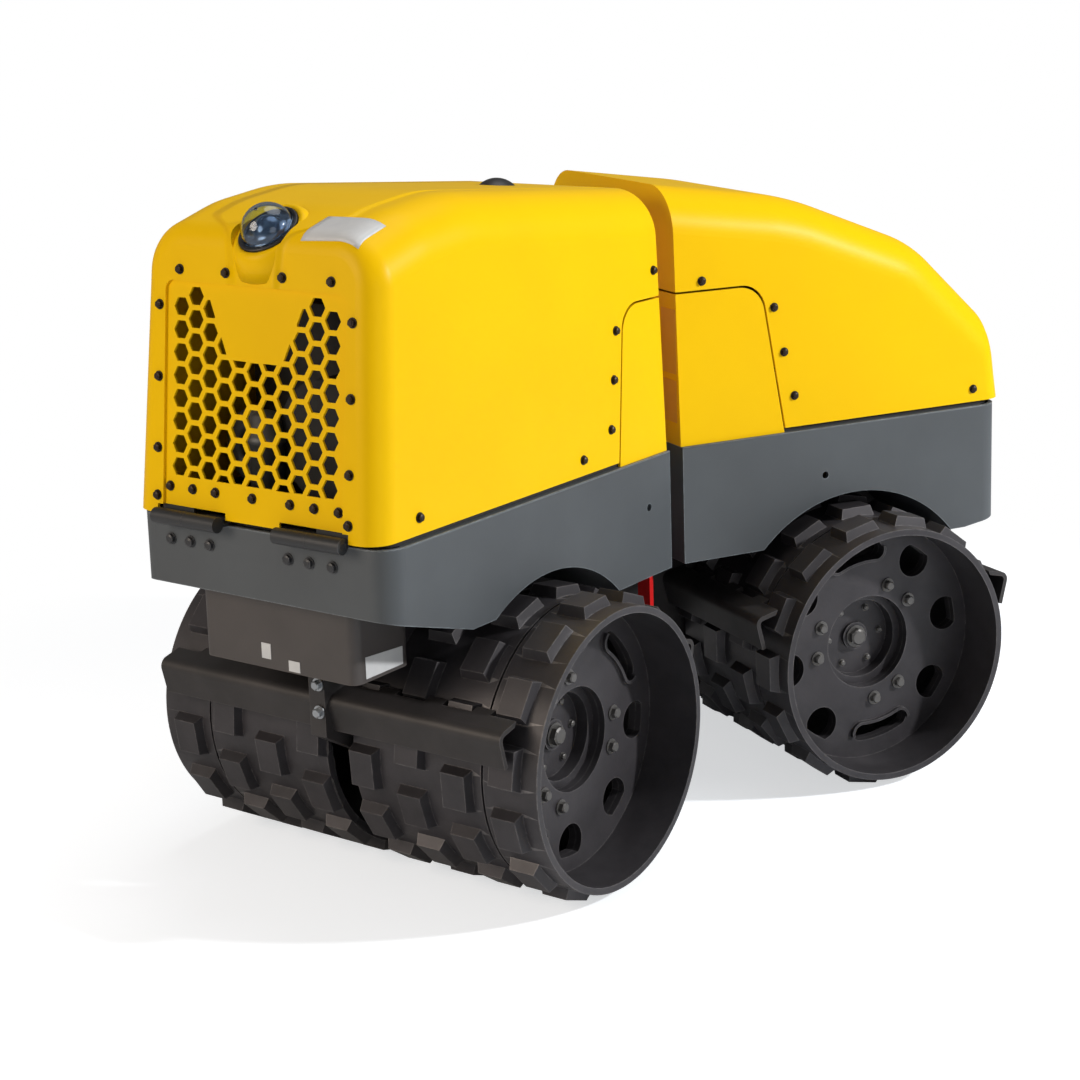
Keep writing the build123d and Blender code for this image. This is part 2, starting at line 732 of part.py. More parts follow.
def hinge_hood(half, skin):
    """Outer barrels of both hinges on the hood, with leaves behind its sloping wall."""
    x = half["end"] + hinge_reach
    face = end_plane(half)
    with BuildPart() as moving:
        for y in hinge_spots(hinge_inner_y + knuckle + knuckle_gap, knuckle):
            with BuildSketch(face.offset(-skin - leaf)):
                with Locations((y, 2 + leaf_height / 2)):
                    Rectangle(knuckle, leaf_height)
            extrude(amount=leaf)
            back = half["end"] + hood_overhang - skin - leaf - 1
            with Locations(((x + back) / 2, y, hood_bottom)):
                Box(x - back, knuckle, leaf)
            with Locations(Location((x, y, hinge_z), (90, 0, 0))):
                Cylinder(hinge_radius, knuckle)
                Cylinder(hinge_pin + run_fit, 2 * knuckle, mode=Mode.SUBTRACT)
    return moving.part


# Bar that locks the steering for transport, stowed upright on the front frame
lock_width = 26.0
lock_depth = 12.0
lock_inset = 63.0
lock_y = frame_half - lock_inset
lock_low = 362.0
lock_high = 600.0
with BuildPart() as lock_bar:
    with Locations((gap_half - lock_depth / 2, lock_y, (lock_low + lock_high) / 2)):
        Box(lock_depth, lock_width, lock_high - lock_low)

# Engine as one plain mass on its feet, with a round blower housing toward the grille
engine_in = 200.0
engine_out = 660.0
engine_half = 185.0
foot_half = 150.0
engine_top = 1010.0
blower_radius = 105.0
blower_end = 740.0
arch_crown = axle_z + arch_radius + sheet
with BuildPart() as engine_block:
    with Locations(((engine_in + engine_out) / 2, 0, (arch_crown + seat_gap + engine_top) / 2)):
        Box(engine_out - engine_in, 2 * engine_half, engine_top - arch_crown - seat_gap)
    for x, width, floor in ((engine_in + 22, 44, inner_bottom), (engine_out - 17, 34, front["low"])):
        low = floor + sheet + seat_gap
        with Locations((x, 0, (low + arch_crown + 5) / 2)):
            Box(width, 2 * foot_half, arch_crown + 5 - low)
    with Locations(Location((engine_out, 45, 800), (0, 90, 0))):
        Cylinder(blower_radius, blower_end - engine_out, align=(Align.CENTER, Align.CENTER, Align.MIN))

# Places: a drum's own turn, its axle, and for a right drum half a turn about the upright
front_axle = front_place * Location((axle_x, 0, axle_z))
rear_axle = rear_place * Location((axle_x, 0, axle_z))
right = Location((0, 0, 0), (0, 0, 180))
front_left = front_axle * Location((0, 0, 0), (0, -front_turn, 0))
front_right = front_axle * Location((0, 0, 0), (0, front_turn, 0)) * right
rear_left = rear_axle * Location((0, 0, 0), (0, -rear_turn, 0))
rear_right = rear_axle * Location((0, 0, 0), (0, rear_turn, 0)) * right
cylinder_place = rear_place * Location((barrel_x, barrel_y, cylinder_z), (0, 0, swing))

# Every piece: solid, node name and place
pieces = (
    (front_tub, "front_frame", front_place),
    (rear_tub, "rear_frame", rear_place),
    (front_panel, "front_corner_panel", front_place),
    (rear_panel, "rear_corner_panel", rear_place),
    (lower_box(front), "front_lower_box", front_place),
    (lower_box(rear), "rear_lower_box", rear_place),
    (front_carrier.part, "front_carrier", front_place),
    (rear_carrier.part, "rear_carrier", rear_place),
    (scrapers.part, "front_scrapers", front_axle),
    (scrapers.part, "rear_scrapers", rear_axle),
    (front_hood.part, "front_hood", front_place),
    (rear_hood.part, "rear_hood", rear_place),
    (grille.part, "front_grille", front_place),
    (eye_dome.part, "front_eye_dome", front_place * eye_plane.location),
    (eye_core.part, "front_eye_core", front_place * eye_plane.location),
    (low_dome.part, "front_low_dome", front_place * front_dome_place),
    (low_dome.part, "rear_low_dome", rear_place * rear_dome_place),
    (hinge_frame(front), "front_hinge_frame", front_place),
    (hinge_frame(rear), "rear_hinge_frame", rear_place),
    (hinge_hood(front, shell_wall + grille_plate), "front_hinge_hood", front_place),
    (hinge_hood(rear, shell_wall), "rear_hinge_hood", rear_place),
    (axle.part, "front_axle", front_axle),
    (axle.part, "rear_axle", rear_axle),
    (drum.part, "front_drum_left", front_left),
    (drum.part, "front_drum_right", front_right),
    (drum.part, "rear_drum_left", rear_left),
    (drum.part, "rear_drum_right", rear_right),
    (ring.part, "front_drum_ring_left", front_left),
    (ring.part, "front_drum_ring_right", front_right),
    (ring.part, "rear_drum_ring_left", rear_left),
    (ring.part, "rear_drum_ring_right", rear_right),
    (hitch_link.part, "hitch_link", front_place),
    (lifting_eye.part, "lifting_eye", front_place),
    (steering_pin.part, "steering_pin", front_place),
    (steering_barrel.part, "steering_barrel", cylinder_place),
    (steering_rod.part, "steering_rod", cylinder_place),
    (lock_bar.part, "lock_bar", front_place),
    (engine_block.part, "engine_block", front_place),
)
for solid, name, place in pieces:
    piece = place * solid
    piece.label = name
    export_step(piece, f"parts/{name}.step")
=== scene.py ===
import bmesh
import bpy
from math import atan2, cos, hypot, pi, radians, sin, sqrt, tan
from mathutils import Matrix, Vector
from mathutils.bvhtree import BVHTree


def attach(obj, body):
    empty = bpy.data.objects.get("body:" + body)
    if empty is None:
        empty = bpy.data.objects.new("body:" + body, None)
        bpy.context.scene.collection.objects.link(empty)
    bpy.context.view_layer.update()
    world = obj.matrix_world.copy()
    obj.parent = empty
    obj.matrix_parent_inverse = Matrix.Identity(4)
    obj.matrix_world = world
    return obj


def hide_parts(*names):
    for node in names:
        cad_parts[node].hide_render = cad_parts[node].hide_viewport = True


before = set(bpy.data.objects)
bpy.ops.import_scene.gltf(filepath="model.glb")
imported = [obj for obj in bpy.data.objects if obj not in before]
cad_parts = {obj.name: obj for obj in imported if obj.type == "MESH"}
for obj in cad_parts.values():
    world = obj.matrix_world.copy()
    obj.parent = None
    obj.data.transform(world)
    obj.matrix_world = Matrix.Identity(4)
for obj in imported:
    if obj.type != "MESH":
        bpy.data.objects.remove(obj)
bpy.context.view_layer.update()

# Places of the machine's halves, in metres: each half's own frame starts at the steering pin
SHIFT = (-0.035805, -0.140319, 0)
FRONT = Matrix.Translation(SHIFT)
REAR = Matrix.Translation(SHIFT) @ Matrix.Rotation(radians(152), 4, "Z")
HALF = {"front": FRONT, "rear": REAR}
MM = Matrix.Scale(0.001, 4)

# Points of a piece that lie closer together than this are merged, in metres
MERGE = 0.00003

# Sizes of the modelled halves that the dressing follows, in millimetres
FRAME_HALF = 270
FRAME_CORNER = 42
FRAME_TOP = 680
FRAME_START = 84
FRAME_END = {"front": 868, "rear": 800}
HOOD_HALF = 263
HOOD_FOOT = 688

# The seam between a hood and its corner panel: its height, and how far out it lies at foot and top
SEAM_TOP = 958
SEAM_AT_FOOT = {"front": 232, "rear": 305}
SEAM_AT_TOP = {"front": 197, "rear": 262}


# Shader helpers
def node(tree, kind, values=None, **settings):
    """Add a node, set its settings and its unlinked inputs."""
    made = tree.nodes.new(kind)
    for key, value in settings.items():
        setattr(made, key, value)
    for key, value in (values or {}).items():
        made.inputs[key].default_value = value
    return made


def group_of(name, inputs, outputs):
    """Start a shader node group with named sockets."""
    tree = bpy.data.node_groups.new(name, "ShaderNodeTree")
    for label, kind, value in inputs:
        socket = tree.interface.new_socket(name=label, in_out="INPUT", socket_type=kind)
        socket.default_value = value
    for label, kind in outputs:
        tree.interface.new_socket(name=label, in_out="OUTPUT", socket_type=kind)
    return tree, tree.nodes.new("NodeGroupInput"), tree.nodes.new("NodeGroupOutput")


def edge_wear_and_highlight_group():
    """Mask of edges, broken up by noise: 1 on an edge, 0 on the flats; the colour laid on it is worn paint
    on some finishes and a painted highlight on others.
    """
    tree, entry, exit_ = group_of(
        "edge_wear_and_highlight",
        [("Width", "NodeSocketFloat", 0.004), ("Break up", "NodeSocketFloat", 60.0),
         ("Amount", "NodeSocketFloat", 1.0)],
        [("Mask", "NodeSocketFloat")])
    links = tree.links
    bevel = node(tree, "ShaderNodeBevel", samples=4)
    here = node(tree, "ShaderNodeNewGeometry")
    dot = node(tree, "ShaderNodeVectorMath", operation="DOT_PRODUCT")
    bent = node(tree, "ShaderNodeMapRange", {"From Min": 0.995, "From Max": 0.86})
    place = node(tree, "ShaderNodeTexCoord")
    noise = node(tree, "ShaderNodeTexNoise", {"Detail": 4.0, "Roughness": 0.6})
    broken = node(tree, "ShaderNodeMapRange", {"From Min": 0.3, "From Max": 0.62})
    joined = node(tree, "ShaderNodeMath", operation="MULTIPLY")
    scaled = node(tree, "ShaderNodeMath", operation="MULTIPLY", use_clamp=True)
    links.new(entry.outputs["Width"], bevel.inputs["Radius"])
    links.new(bevel.outputs["Normal"], dot.inputs[0])
    links.new(here.outputs["Normal"], dot.inputs[1])
    links.new(dot.outputs["Value"], bent.inputs["Value"])
    links.new(place.outputs["Object"], noise.inputs["Vector"])
    links.new(entry.outputs["Break up"], noise.inputs["Scale"])
    links.new(noise.outputs["Fac"], broken.inputs["Value"])
    links.new(bent.outputs["Result"], joined.inputs[0])
    links.new(broken.outputs["Result"], joined.inputs[1])
    links.new(joined.outputs["Value"], scaled.inputs[0])
    links.new(entry.outputs["Amount"], scaled.inputs[1])
    links.new(scaled.outputs["Value"], exit_.inputs["Mask"])
    return tree


def grain_group():
    """Slow cloudiness and a fine grain height for painted and cast surfaces."""
    tree, entry, exit_ = group_of(
        "surface_grain",
        [("Cloud scale", "NodeSocketFloat", 6.0), ("Grain scale", "NodeSocketFloat", 420.0)],
        [("Cloud", "NodeSocketFloat"), ("Grain", "NodeSocketFloat")])
    links = tree.links
    place = node(tree, "ShaderNodeTexCoord")
    cloud = node(tree, "ShaderNodeTexNoise", {"Detail": 5.0, "Roughness": 0.55})
    grain = node(tree, "ShaderNodeTexNoise", {"Detail": 2.0, "Roughness": 0.5})
    links.new(place.outputs["Object"], cloud.inputs["Vector"])
    links.new(place.outputs["Object"], grain.inputs["Vector"])
    links.new(entry.outputs["Cloud scale"], cloud.inputs["Scale"])
    links.new(entry.outputs["Grain scale"], grain.inputs["Scale"])
    links.new(cloud.outputs["Fac"], exit_.inputs["Cloud"])
    links.new(grain.outputs["Fac"], exit_.inputs["Grain"])
    return tree


def dust_group():
    """Mask of dust: in patches, thicker low on the machine."""
    tree, entry, exit_ = group_of(
        "ground_dust",
        [("Height", "NodeSocketFloat", 0.35), ("Scale", "NodeSocketFloat", 14.0)],
        [("Mask", "NodeSocketFloat")])
    links = tree.links
    place = node(tree, "ShaderNodeTexCoord")
    parts = node(tree, "ShaderNodeSeparateXYZ")
    low = node(tree, "ShaderNodeMapRange", {"From Min": 0.0, "To Min": 1.0, "To Max": 0.0})
    noise = node(tree, "ShaderNodeTexNoise", {"Detail": 6.0, "Roughness": 0.65})
    patchy = node(tree, "ShaderNodeMapRange", {"From Min": 0.42, "From Max": 0.7})
    product = node(tree, "ShaderNodeMath", operation="MULTIPLY", use_clamp=True)
    links.new(place.outputs["Object"], parts.inputs["Vector"])
    links.new(parts.outputs["Z"], low.inputs["Value"])
    links.new(entry.outputs["Height"], low.inputs["From Max"])
    links.new(place.outputs["Object"], noise.inputs["Vector"])
    links.new(entry.outputs["Scale"], noise.inputs["Scale"])
    links.new(noise.outputs["Fac"], patchy.inputs["Value"])
    links.new(low.outputs["Result"], product.inputs[0])
    links.new(patchy.outputs["Result"], product.inputs[1])
    links.new(product.outputs["Value"], exit_.inputs["Mask"])
    return tree


def spine_group():
    """Height of the raised middle of the front hood: it widens from the eye's collar back to the gap."""
    tree, entry, exit_ = group_of("raised_spine", [("Rise", "NodeSocketFloat", 0.007)],
                                  [("Height", "NodeSocketFloat")])
    links = tree.links
    place = node(tree, "ShaderNodeTexCoord")
    parts = node(tree, "ShaderNodeSeparateXYZ")
    centred = node(tree, "ShaderNodeMath", {1: -SHIFT[1]}, operation="ADD")
    across = node(tree, "ShaderNodeMath", operation="ABSOLUTE")
    spread = {"From Min": 0.815, "From Max": 0.735, "To Min": 0.045, "To Max": 0.135}
    half_width = node(tree, "ShaderNodeMapRange", spread, interpolation_type="SMOOTHSTEP")
    beyond = node(tree, "ShaderNodeMath", operation="SUBTRACT")
    flank = {"From Min": -0.014, "From Max": 0.014, "To Min": 1.0, "To Max": 0.0}
    step = node(tree, "ShaderNodeMapRange", flank, interpolation_type="SMOOTHERSTEP")
    tall = node(tree, "ShaderNodeMath", operation="MULTIPLY")
    links.new(place.outputs["Object"], parts.inputs["Vector"])
    links.new(parts.outputs["Y"], centred.inputs[0])
    links.new(centred.outputs["Value"], across.inputs[0])
    links.new(parts.outputs["X"], half_width.inputs["Value"])
    links.new(across.outputs["Value"], beyond.inputs[0])
    links.new(half_width.outputs["Result"], beyond.inputs[1])
    links.new(beyond.outputs["Value"], step.inputs["Value"])
    links.new(step.outputs["Result"], tall.inputs[0])
    links.new(entry.outputs["Rise"], tall.inputs[1])
    links.new(tall.outputs["Value"], exit_.inputs["Height"])
    return tree


EDGE_WEAR_AND_HIGHLIGHT = edge_wear_and_highlight_group()
GRAIN = grain_group()
GRAIN_DEPTH = 0.0004
DUST = dust_group()

# The colour sockets of a Mix node
FIRST_COLOR = 6
SECOND_COLOR = 7


def finish_of(name, color, shade, rough, rough_shade, metal=0.0, coat=0.0, shine=0.5, cloud=5.0, grain=420.0,
              bump=0.05, edge=None, edge_width=0.003, edge_amount=0.6, dust=None, dust_height=0.3,
              spine=False):
    """A painted or cast finish: two close colours in clouds, fine grain, lighter edges and dust; the lighter
    edges are worn edges on some finishes and a painted highlight on the drum iron and the frame gray.
    """
    made = bpy.data.materials.new(name)
    made.use_nodes = True
    tree = made.node_tree
    links = tree.links
    shader = tree.nodes["Principled BSDF"]
    shader.inputs["Metallic"].default_value = metal
    shader.inputs["Coat Weight"].default_value = coat
    shader.inputs["Specular IOR Level"].default_value = shine
    shader.inputs["Coat Roughness"].default_value = 0.12
    surface = node(tree, "ShaderNodeGroup", node_tree=GRAIN)
    surface.inputs["Cloud scale"].default_value = cloud
    surface.inputs["Grain scale"].default_value = grain
    spread = node(tree, "ShaderNodeMapRange", {"From Min": 0.35, "From Max": 0.65})
    links.new(surface.outputs["Cloud"], spread.inputs["Value"])
    mixed = node(tree, "ShaderNodeMix", data_type="RGBA")
    mixed.inputs[FIRST_COLOR].default_value = (*color, 1)
    mixed.inputs[SECOND_COLOR].default_value = (*shade, 1)
    links.new(spread.outputs["Result"], mixed.inputs[0])
    out = mixed.outputs[2]
    # Lighter edges: worn edges on some finishes, a painted highlight on the drum iron and the frame gray.
    if edge:
        worn_and_highlit_mask = node(tree, "ShaderNodeGroup", node_tree=EDGE_WEAR_AND_HIGHLIGHT)
        worn_and_highlit_mask.inputs["Width"].default_value = edge_width
        worn_and_highlit_mask.inputs["Amount"].default_value = edge_amount
        worn_and_highlit = node(tree, "ShaderNodeMix", data_type="RGBA")
        worn_and_highlit.inputs[SECOND_COLOR].default_value = (*edge, 1)
        links.new(worn_and_highlit_mask.outputs["Mask"], worn_and_highlit.inputs[0])
        links.new(out, worn_and_highlit.inputs[FIRST_COLOR])
        out = worn_and_highlit.outputs[2]
    if dust:
        layer = node(tree, "ShaderNodeGroup", node_tree=DUST)
        layer.inputs["Height"].default_value = dust_height
        dusty = node(tree, "ShaderNodeMix", data_type="RGBA")
        dusty.inputs[SECOND_COLOR].default_value = (*dust, 1)
        soft = node(tree, "ShaderNodeMath", {1: 0.5}, operation="MULTIPLY")
        links.new(layer.outputs["Mask"], soft.inputs[0])
        links.new(soft.outputs["Value"], dusty.inputs[0])
        links.new(out, dusty.inputs[FIRST_COLOR])
        out = dusty.outputs[2]
    links.new(out, shader.inputs["Base Color"])
    gloss = node(tree, "ShaderNodeMapRange", {"To Min": rough, "To Max": rough_shade})
    links.new(surface.outputs["Cloud"], gloss.inputs["Value"])
    links.new(gloss.outputs["Result"], shader.inputs["Roughness"])
    relief = node(tree, "ShaderNodeBump", {"Strength": bump, "Distance": GRAIN_DEPTH})
    links.new(surface.outputs["Grain"], relief.inputs["Height"])
    if spine:
        raised = node(tree, "ShaderNodeGroup", node_tree=spine_group())
        form = node(tree, "ShaderNodeBump", {"Strength": 1.0, "Distance": 1.0})
        links.new(raised.outputs["Height"], form.inputs["Height"])
        links.new(form.outputs["Normal"], relief.inputs["Normal"])
    links.new(relief.outputs["Normal"], shader.inputs["Normal"])
    return made


PAINT = dict(color=(0.92, 0.56, 0.0012), shade=(0.89, 0.53, 0.0012), rough=0.32, rough_shade=0.42, shine=0.1,
             cloud=3.0, grain=260, bump=0.12, edge=(0.95, 0.66, 0.03), edge_amount=0.35)
YELLOW = finish_of("yellow_paint", **PAINT)
HOOD_YELLOW = finish_of("front_hood_paint", spine=True, **PAINT)
SIGN_YELLOW = finish_of("blank_yellow_sign", (0.80, 0.42, 0.03), (0.74, 0.38, 0.03), 0.4, 0.5, grain=600)
# Frame gray: its lighter, bluish edge colour is a painted highlight on the frame's edges.
FRAME_GRAY = finish_of("frame_gray_paint", (0.078, 0.088, 0.096), (0.066, 0.074, 0.081), 0.38, 0.5,
                       cloud=4.0, grain=500, bump=0.1, edge=(0.30, 0.34, 0.37), edge_width=0.0035,
                       edge_amount=0.8)
# The fold's lighter gray is a painted highlight of the frame's top edge.
FOLD_HIGHLIGHT_GRAY = finish_of("folded_edge_painted_highlight", (0.17, 0.19, 0.205), (0.12, 0.135, 0.148), 0.25, 0.35, cloud=9.0)
# Drum iron: its lighter edge colour is a painted highlight on the pads' and webs' edges.
IRON = finish_of("drum_iron", (0.052, 0.048, 0.053), (0.036, 0.034, 0.038), 0.34, 0.5, metal=0.3, cloud=9.0,
                 grain=300, bump=0.3, edge=(0.19, 0.18, 0.18), edge_width=0.004, edge_amount=0.85,
                 dust=(0.080, 0.076, 0.082), dust_height=0.5)
BROWN_STEEL = finish_of("brown_gray_steel", (0.072, 0.063, 0.060), (0.056, 0.050, 0.048), 0.4, 0.55,
                        grain=350, bump=0.15, edge=(0.16, 0.145, 0.13), edge_amount=0.5)
DARK_STEEL = finish_of("dark_steel", (0.040, 0.036, 0.036), (0.028, 0.026, 0.026), 0.42, 0.58, metal=0.2,
                       cloud=8.0, grain=300, bump=0.2, edge=(0.13, 0.12, 0.12), edge_amount=0.6,
                       dust=(0.072, 0.067, 0.068), dust_height=0.45)
HINGE_STEEL = finish_of("hinge_steel", (0.040, 0.042, 0.046), (0.030, 0.032, 0.035), 0.4, 0.5, metal=0.3,
                        grain=500, edge=(0.15, 0.15, 0.16), edge_width=0.002)
BOLT_DARK = finish_of("dark_bolt", (0.030, 0.018, 0.012), (0.022, 0.014, 0.010), 0.35, 0.5, metal=0.5,
                      grain=800, edge=(0.10, 0.08, 0.06), edge_width=0.001)
BOLT_IRON = finish_of("iron_bolt", (0.17, 0.165, 0.16), (0.11, 0.105, 0.10), 0.32, 0.5, metal=0.6,
                      grain=800, edge=(0.25, 0.24, 0.23), edge_width=0.0012)
BOLT_BRIGHT = finish_of("bright_bolt", (0.42, 0.44, 0.46), (0.32, 0.34, 0.36), 0.25, 0.4, metal=0.9,
                        grain=800)
RED = finish_of("red_paint", (0.62, 0.012, 0.012), (0.52, 0.010, 0.010), 0.35, 0.45, coat=0.2)
ENGINE = finish_of("engine_iron", (0.030, 0.030, 0.031), (0.045, 0.045, 0.046), 0.5, 0.7, metal=0.3,
                   cloud=12.0, grain=200, bump=0.4)
BLOWER = finish_of("blower_gray", (0.20, 0.21, 0.22), (0.13, 0.14, 0.15), 0.35, 0.5, metal=0.5, cloud=10.0)
RUBBER = finish_of("seal_rubber", (0.012, 0.012, 0.013), (0.018, 0.018, 0.019), 0.6, 0.75, grain=600,
                   bump=0.2)
# The receiver's core: its blue-gray colour is a painted reflection of a blue sky.
LENS_PAINTED_REFLECTION = finish_of("lens_painted_sky_reflection", (0.10, 0.15, 0.22), (0.05, 0.08, 0.13), 0.12, 0.2, metal=0.4, coat=1.0,
                 cloud=30.0)
PLASTIC = finish_of("black_plastic", (0.016, 0.016, 0.018), (0.022, 0.022, 0.024), 0.3, 0.45, grain=700,
                    bump=0.1)
PLATE = finish_of("blank_plate", (0.62, 0.63, 0.63), (0.55, 0.56, 0.57), 0.35, 0.45, cloud=20.0, grain=600)
ROD = finish_of("bright_rod", (0.45, 0.45, 0.46), (0.38, 0.38, 0.39), 0.15, 0.25, metal=1.0, grain=900)


def clear_cover():
    """Clear moulded cover of the receiver, with faint rings."""
    made = bpy.data.materials.new("clear_cover")
    made.use_nodes = True
    tree = made.node_tree
    shader = tree.nodes["Principled BSDF"]
    shader.inputs["Base Color"].default_value = (0.72, 0.84, 0.98, 1)
    shader.inputs["Roughness"].default_value = 0.04
    shader.inputs["IOR"].default_value = 1.45
    shader.inputs["Transmission Weight"].default_value = 1.0
    place = node(tree, "ShaderNodeTexCoord")
    wave = node(tree, "ShaderNodeTexNoise", {"Scale": 40.0, "Detail": 2.0})
    relief = node(tree, "ShaderNodeBump", {"Strength": 0.15, "Distance": 0.001})
    tree.links.new(place.outputs["Object"], wave.inputs["Vector"])
    tree.links.new(wave.outputs["Fac"], relief.inputs["Height"])
    tree.links.new(relief.outputs["Normal"], shader.inputs["Normal"])
    return made


CLEAR = clear_cover()

NODE_FINISH = {
    "front_frame": FRAME_GRAY, "rear_frame": FRAME_GRAY, "front_corner_panel": YELLOW,
    "rear_corner_panel": YELLOW, "front_hood": HOOD_YELLOW, "rear_hood": YELLOW, "front_grille": YELLOW,
    "front_lower_box": BROWN_STEEL, "rear_lower_box": BROWN_STEEL,
    "front_carrier": DARK_STEEL, "rear_carrier": DARK_STEEL, "front_scrapers": DARK_STEEL,
    "rear_scrapers": DARK_STEEL, "hitch_link": DARK_STEEL, "lifting_eye": DARK_STEEL,
    "front_hinge_frame": HINGE_STEEL, "rear_hinge_frame": HINGE_STEEL, "front_hinge_hood": HINGE_STEEL,
    "rear_hinge_hood": HINGE_STEEL, "lock_bar": RED, "engine_block": ENGINE, "front_eye_dome": CLEAR,
    "front_eye_core": PLASTIC, "front_low_dome": PLASTIC, "rear_low_dome": PLASTIC, "steering_pin": ROD,
    "steering_barrel": DARK_STEEL, "steering_rod": ROD, "front_axle": IRON, "rear_axle": IRON,
}
for name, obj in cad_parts.items():
    obj.data.materials.clear()
    obj.data.materials.append(NODE_FINISH.get(name, IRON))


# Mesh helpers
def add_mesh(name, verts, faces, finish, body, smooth=False):
    """A piece from points and faces given in metres in the machine's frame."""
    mesh = bpy.data.meshes.new(name)
    mesh.from_pydata([tuple(v) for v in verts], [], faces)
    build = bmesh.new()
    build.from_mesh(mesh)
    bmesh.ops.remove_doubles(build, verts=build.verts, dist=MERGE)
    bmesh.ops.recalc_face_normals(build, faces=build.faces)
    build.to_mesh(mesh)
    build.free()
    mesh.validate()
    mesh.materials.append(finish)
    for polygon in mesh.polygons:
        polygon.use_smooth = smooth
    obj = bpy.data.objects.new(name, mesh)
    bpy.context.scene.collection.objects.link(obj)
    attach(obj, body)
    return obj


def head_tree():
    """Geometry nodes: a bolt head on a washer at each point, turned along the point's axis."""
    tree = bpy.data.node_groups.new("bolt_heads", "GeometryNodeTree")
    new = tree.interface.new_socket
    new(name="Geometry", in_out="INPUT", socket_type="NodeSocketGeometry")
    sizes = (("Sides", "NodeSocketInt", 6), ("Head radius", "NodeSocketFloat", 0.01),
             ("Head height", "NodeSocketFloat", 0.006), ("Crown", "NodeSocketFloat", 0.8),
             ("Washer radius", "NodeSocketFloat", 0.013), ("Washer height", "NodeSocketFloat", 0.002))
    for label, kind, value in sizes:
        new(name=label, in_out="INPUT", socket_type=kind).default_value = value
    new(name="Finish", in_out="INPUT", socket_type="NodeSocketMaterial")
    new(name="Geometry", in_out="OUTPUT", socket_type="NodeSocketGeometry")
    entry = tree.nodes.new("NodeGroupInput")
    exit_ = tree.nodes.new("NodeGroupOutput")
    links = tree.links
    washer = node(tree, "GeometryNodeMeshCylinder", {"Vertices": 16})
    links.new(entry.outputs["Washer radius"], washer.inputs["Radius"])
    links.new(entry.outputs["Washer height"], washer.inputs["Depth"])
    head = node(tree, "GeometryNodeMeshCylinder")
    links.new(entry.outputs["Sides"], head.inputs["Vertices"])
    links.new(entry.outputs["Head radius"], head.inputs["Radius"])
    links.new(entry.outputs["Head height"], head.inputs["Depth"])
    crown = node(tree, "GeometryNodeMeshCone", {"Vertices": 16})
    rim = node(tree, "ShaderNodeMath", {1: 0.92}, operation="MULTIPLY")
    links.new(entry.outputs["Head radius"], rim.inputs[0])
    links.new(rim.outputs[0], crown.inputs["Radius Bottom"])
    narrow = node(tree, "ShaderNodeMath", operation="MULTIPLY")
    links.new(rim.outputs[0], narrow.inputs[0])
    links.new(entry.outputs["Crown"], narrow.inputs[1])
    links.new(narrow.outputs[0], crown.inputs["Radius Top"])
    top = node(tree, "ShaderNodeMath", {1: 0.25}, operation="MULTIPLY")
    links.new(entry.outputs["Head height"], top.inputs[0])
    links.new(top.outputs[0], crown.inputs["Depth"])
    joined = node(tree, "GeometryNodeJoinGeometry")

    def lifted(source, terms):
        """Join a part of the head, raised by a sum of sizes, each times its factor."""
        move = node(tree, "GeometryNodeTransform")
        height = None
        for socket, factor in terms:
            part = node(tree, "ShaderNodeMath", {1: factor}, operation="MULTIPLY")
            links.new(socket, part.inputs[0])
            if height is None:
                height = part.outputs[0]
            else:
                total = node(tree, "ShaderNodeMath", operation="ADD")
                links.new(height, total.inputs[0])
                links.new(part.outputs[0], total.inputs[1])
                height = total.outputs[0]
        place = node(tree, "ShaderNodeCombineXYZ")
        links.new(height, place.inputs["Z"])
        links.new(source, move.inputs["Geometry"])
        links.new(place.outputs[0], move.inputs["Translation"])
        links.new(move.outputs[0], joined.inputs[0])

    disc = entry.outputs["Washer height"]
    tall = entry.outputs["Head height"]
    lifted(washer.outputs["Mesh"], [(disc, 0.5)])
    lifted(head.outputs["Mesh"], [(disc, 1.0), (tall, 0.5)])
    lifted(crown.outputs["Mesh"], [(disc, 1.0), (tall, 1.0)])
    axis = node(tree, "GeometryNodeInputNamedAttribute", {"Name": "axis"}, data_type="FLOAT_VECTOR")
    turn = node(tree, "FunctionNodeAlignRotationToVector", axis="Z")
    links.new(axis.outputs[0], turn.inputs["Vector"])
    spread = node(tree, "GeometryNodeInstanceOnPoints")
    links.new(entry.outputs["Geometry"], spread.inputs["Points"])
    links.new(joined.outputs[0], spread.inputs["Instance"])
    links.new(turn.outputs[0], spread.inputs["Rotation"])
    real = node(tree, "GeometryNodeRealizeInstances")
    links.new(spread.outputs[0], real.inputs[0])
    paint = node(tree, "GeometryNodeSetMaterial")
    links.new(real.outputs[0], paint.inputs["Geometry"])
    links.new(entry.outputs["Finish"], paint.inputs["Material"])
    links.new(paint.outputs[0], exit_.inputs[0])
    return tree


HEADS = head_tree()


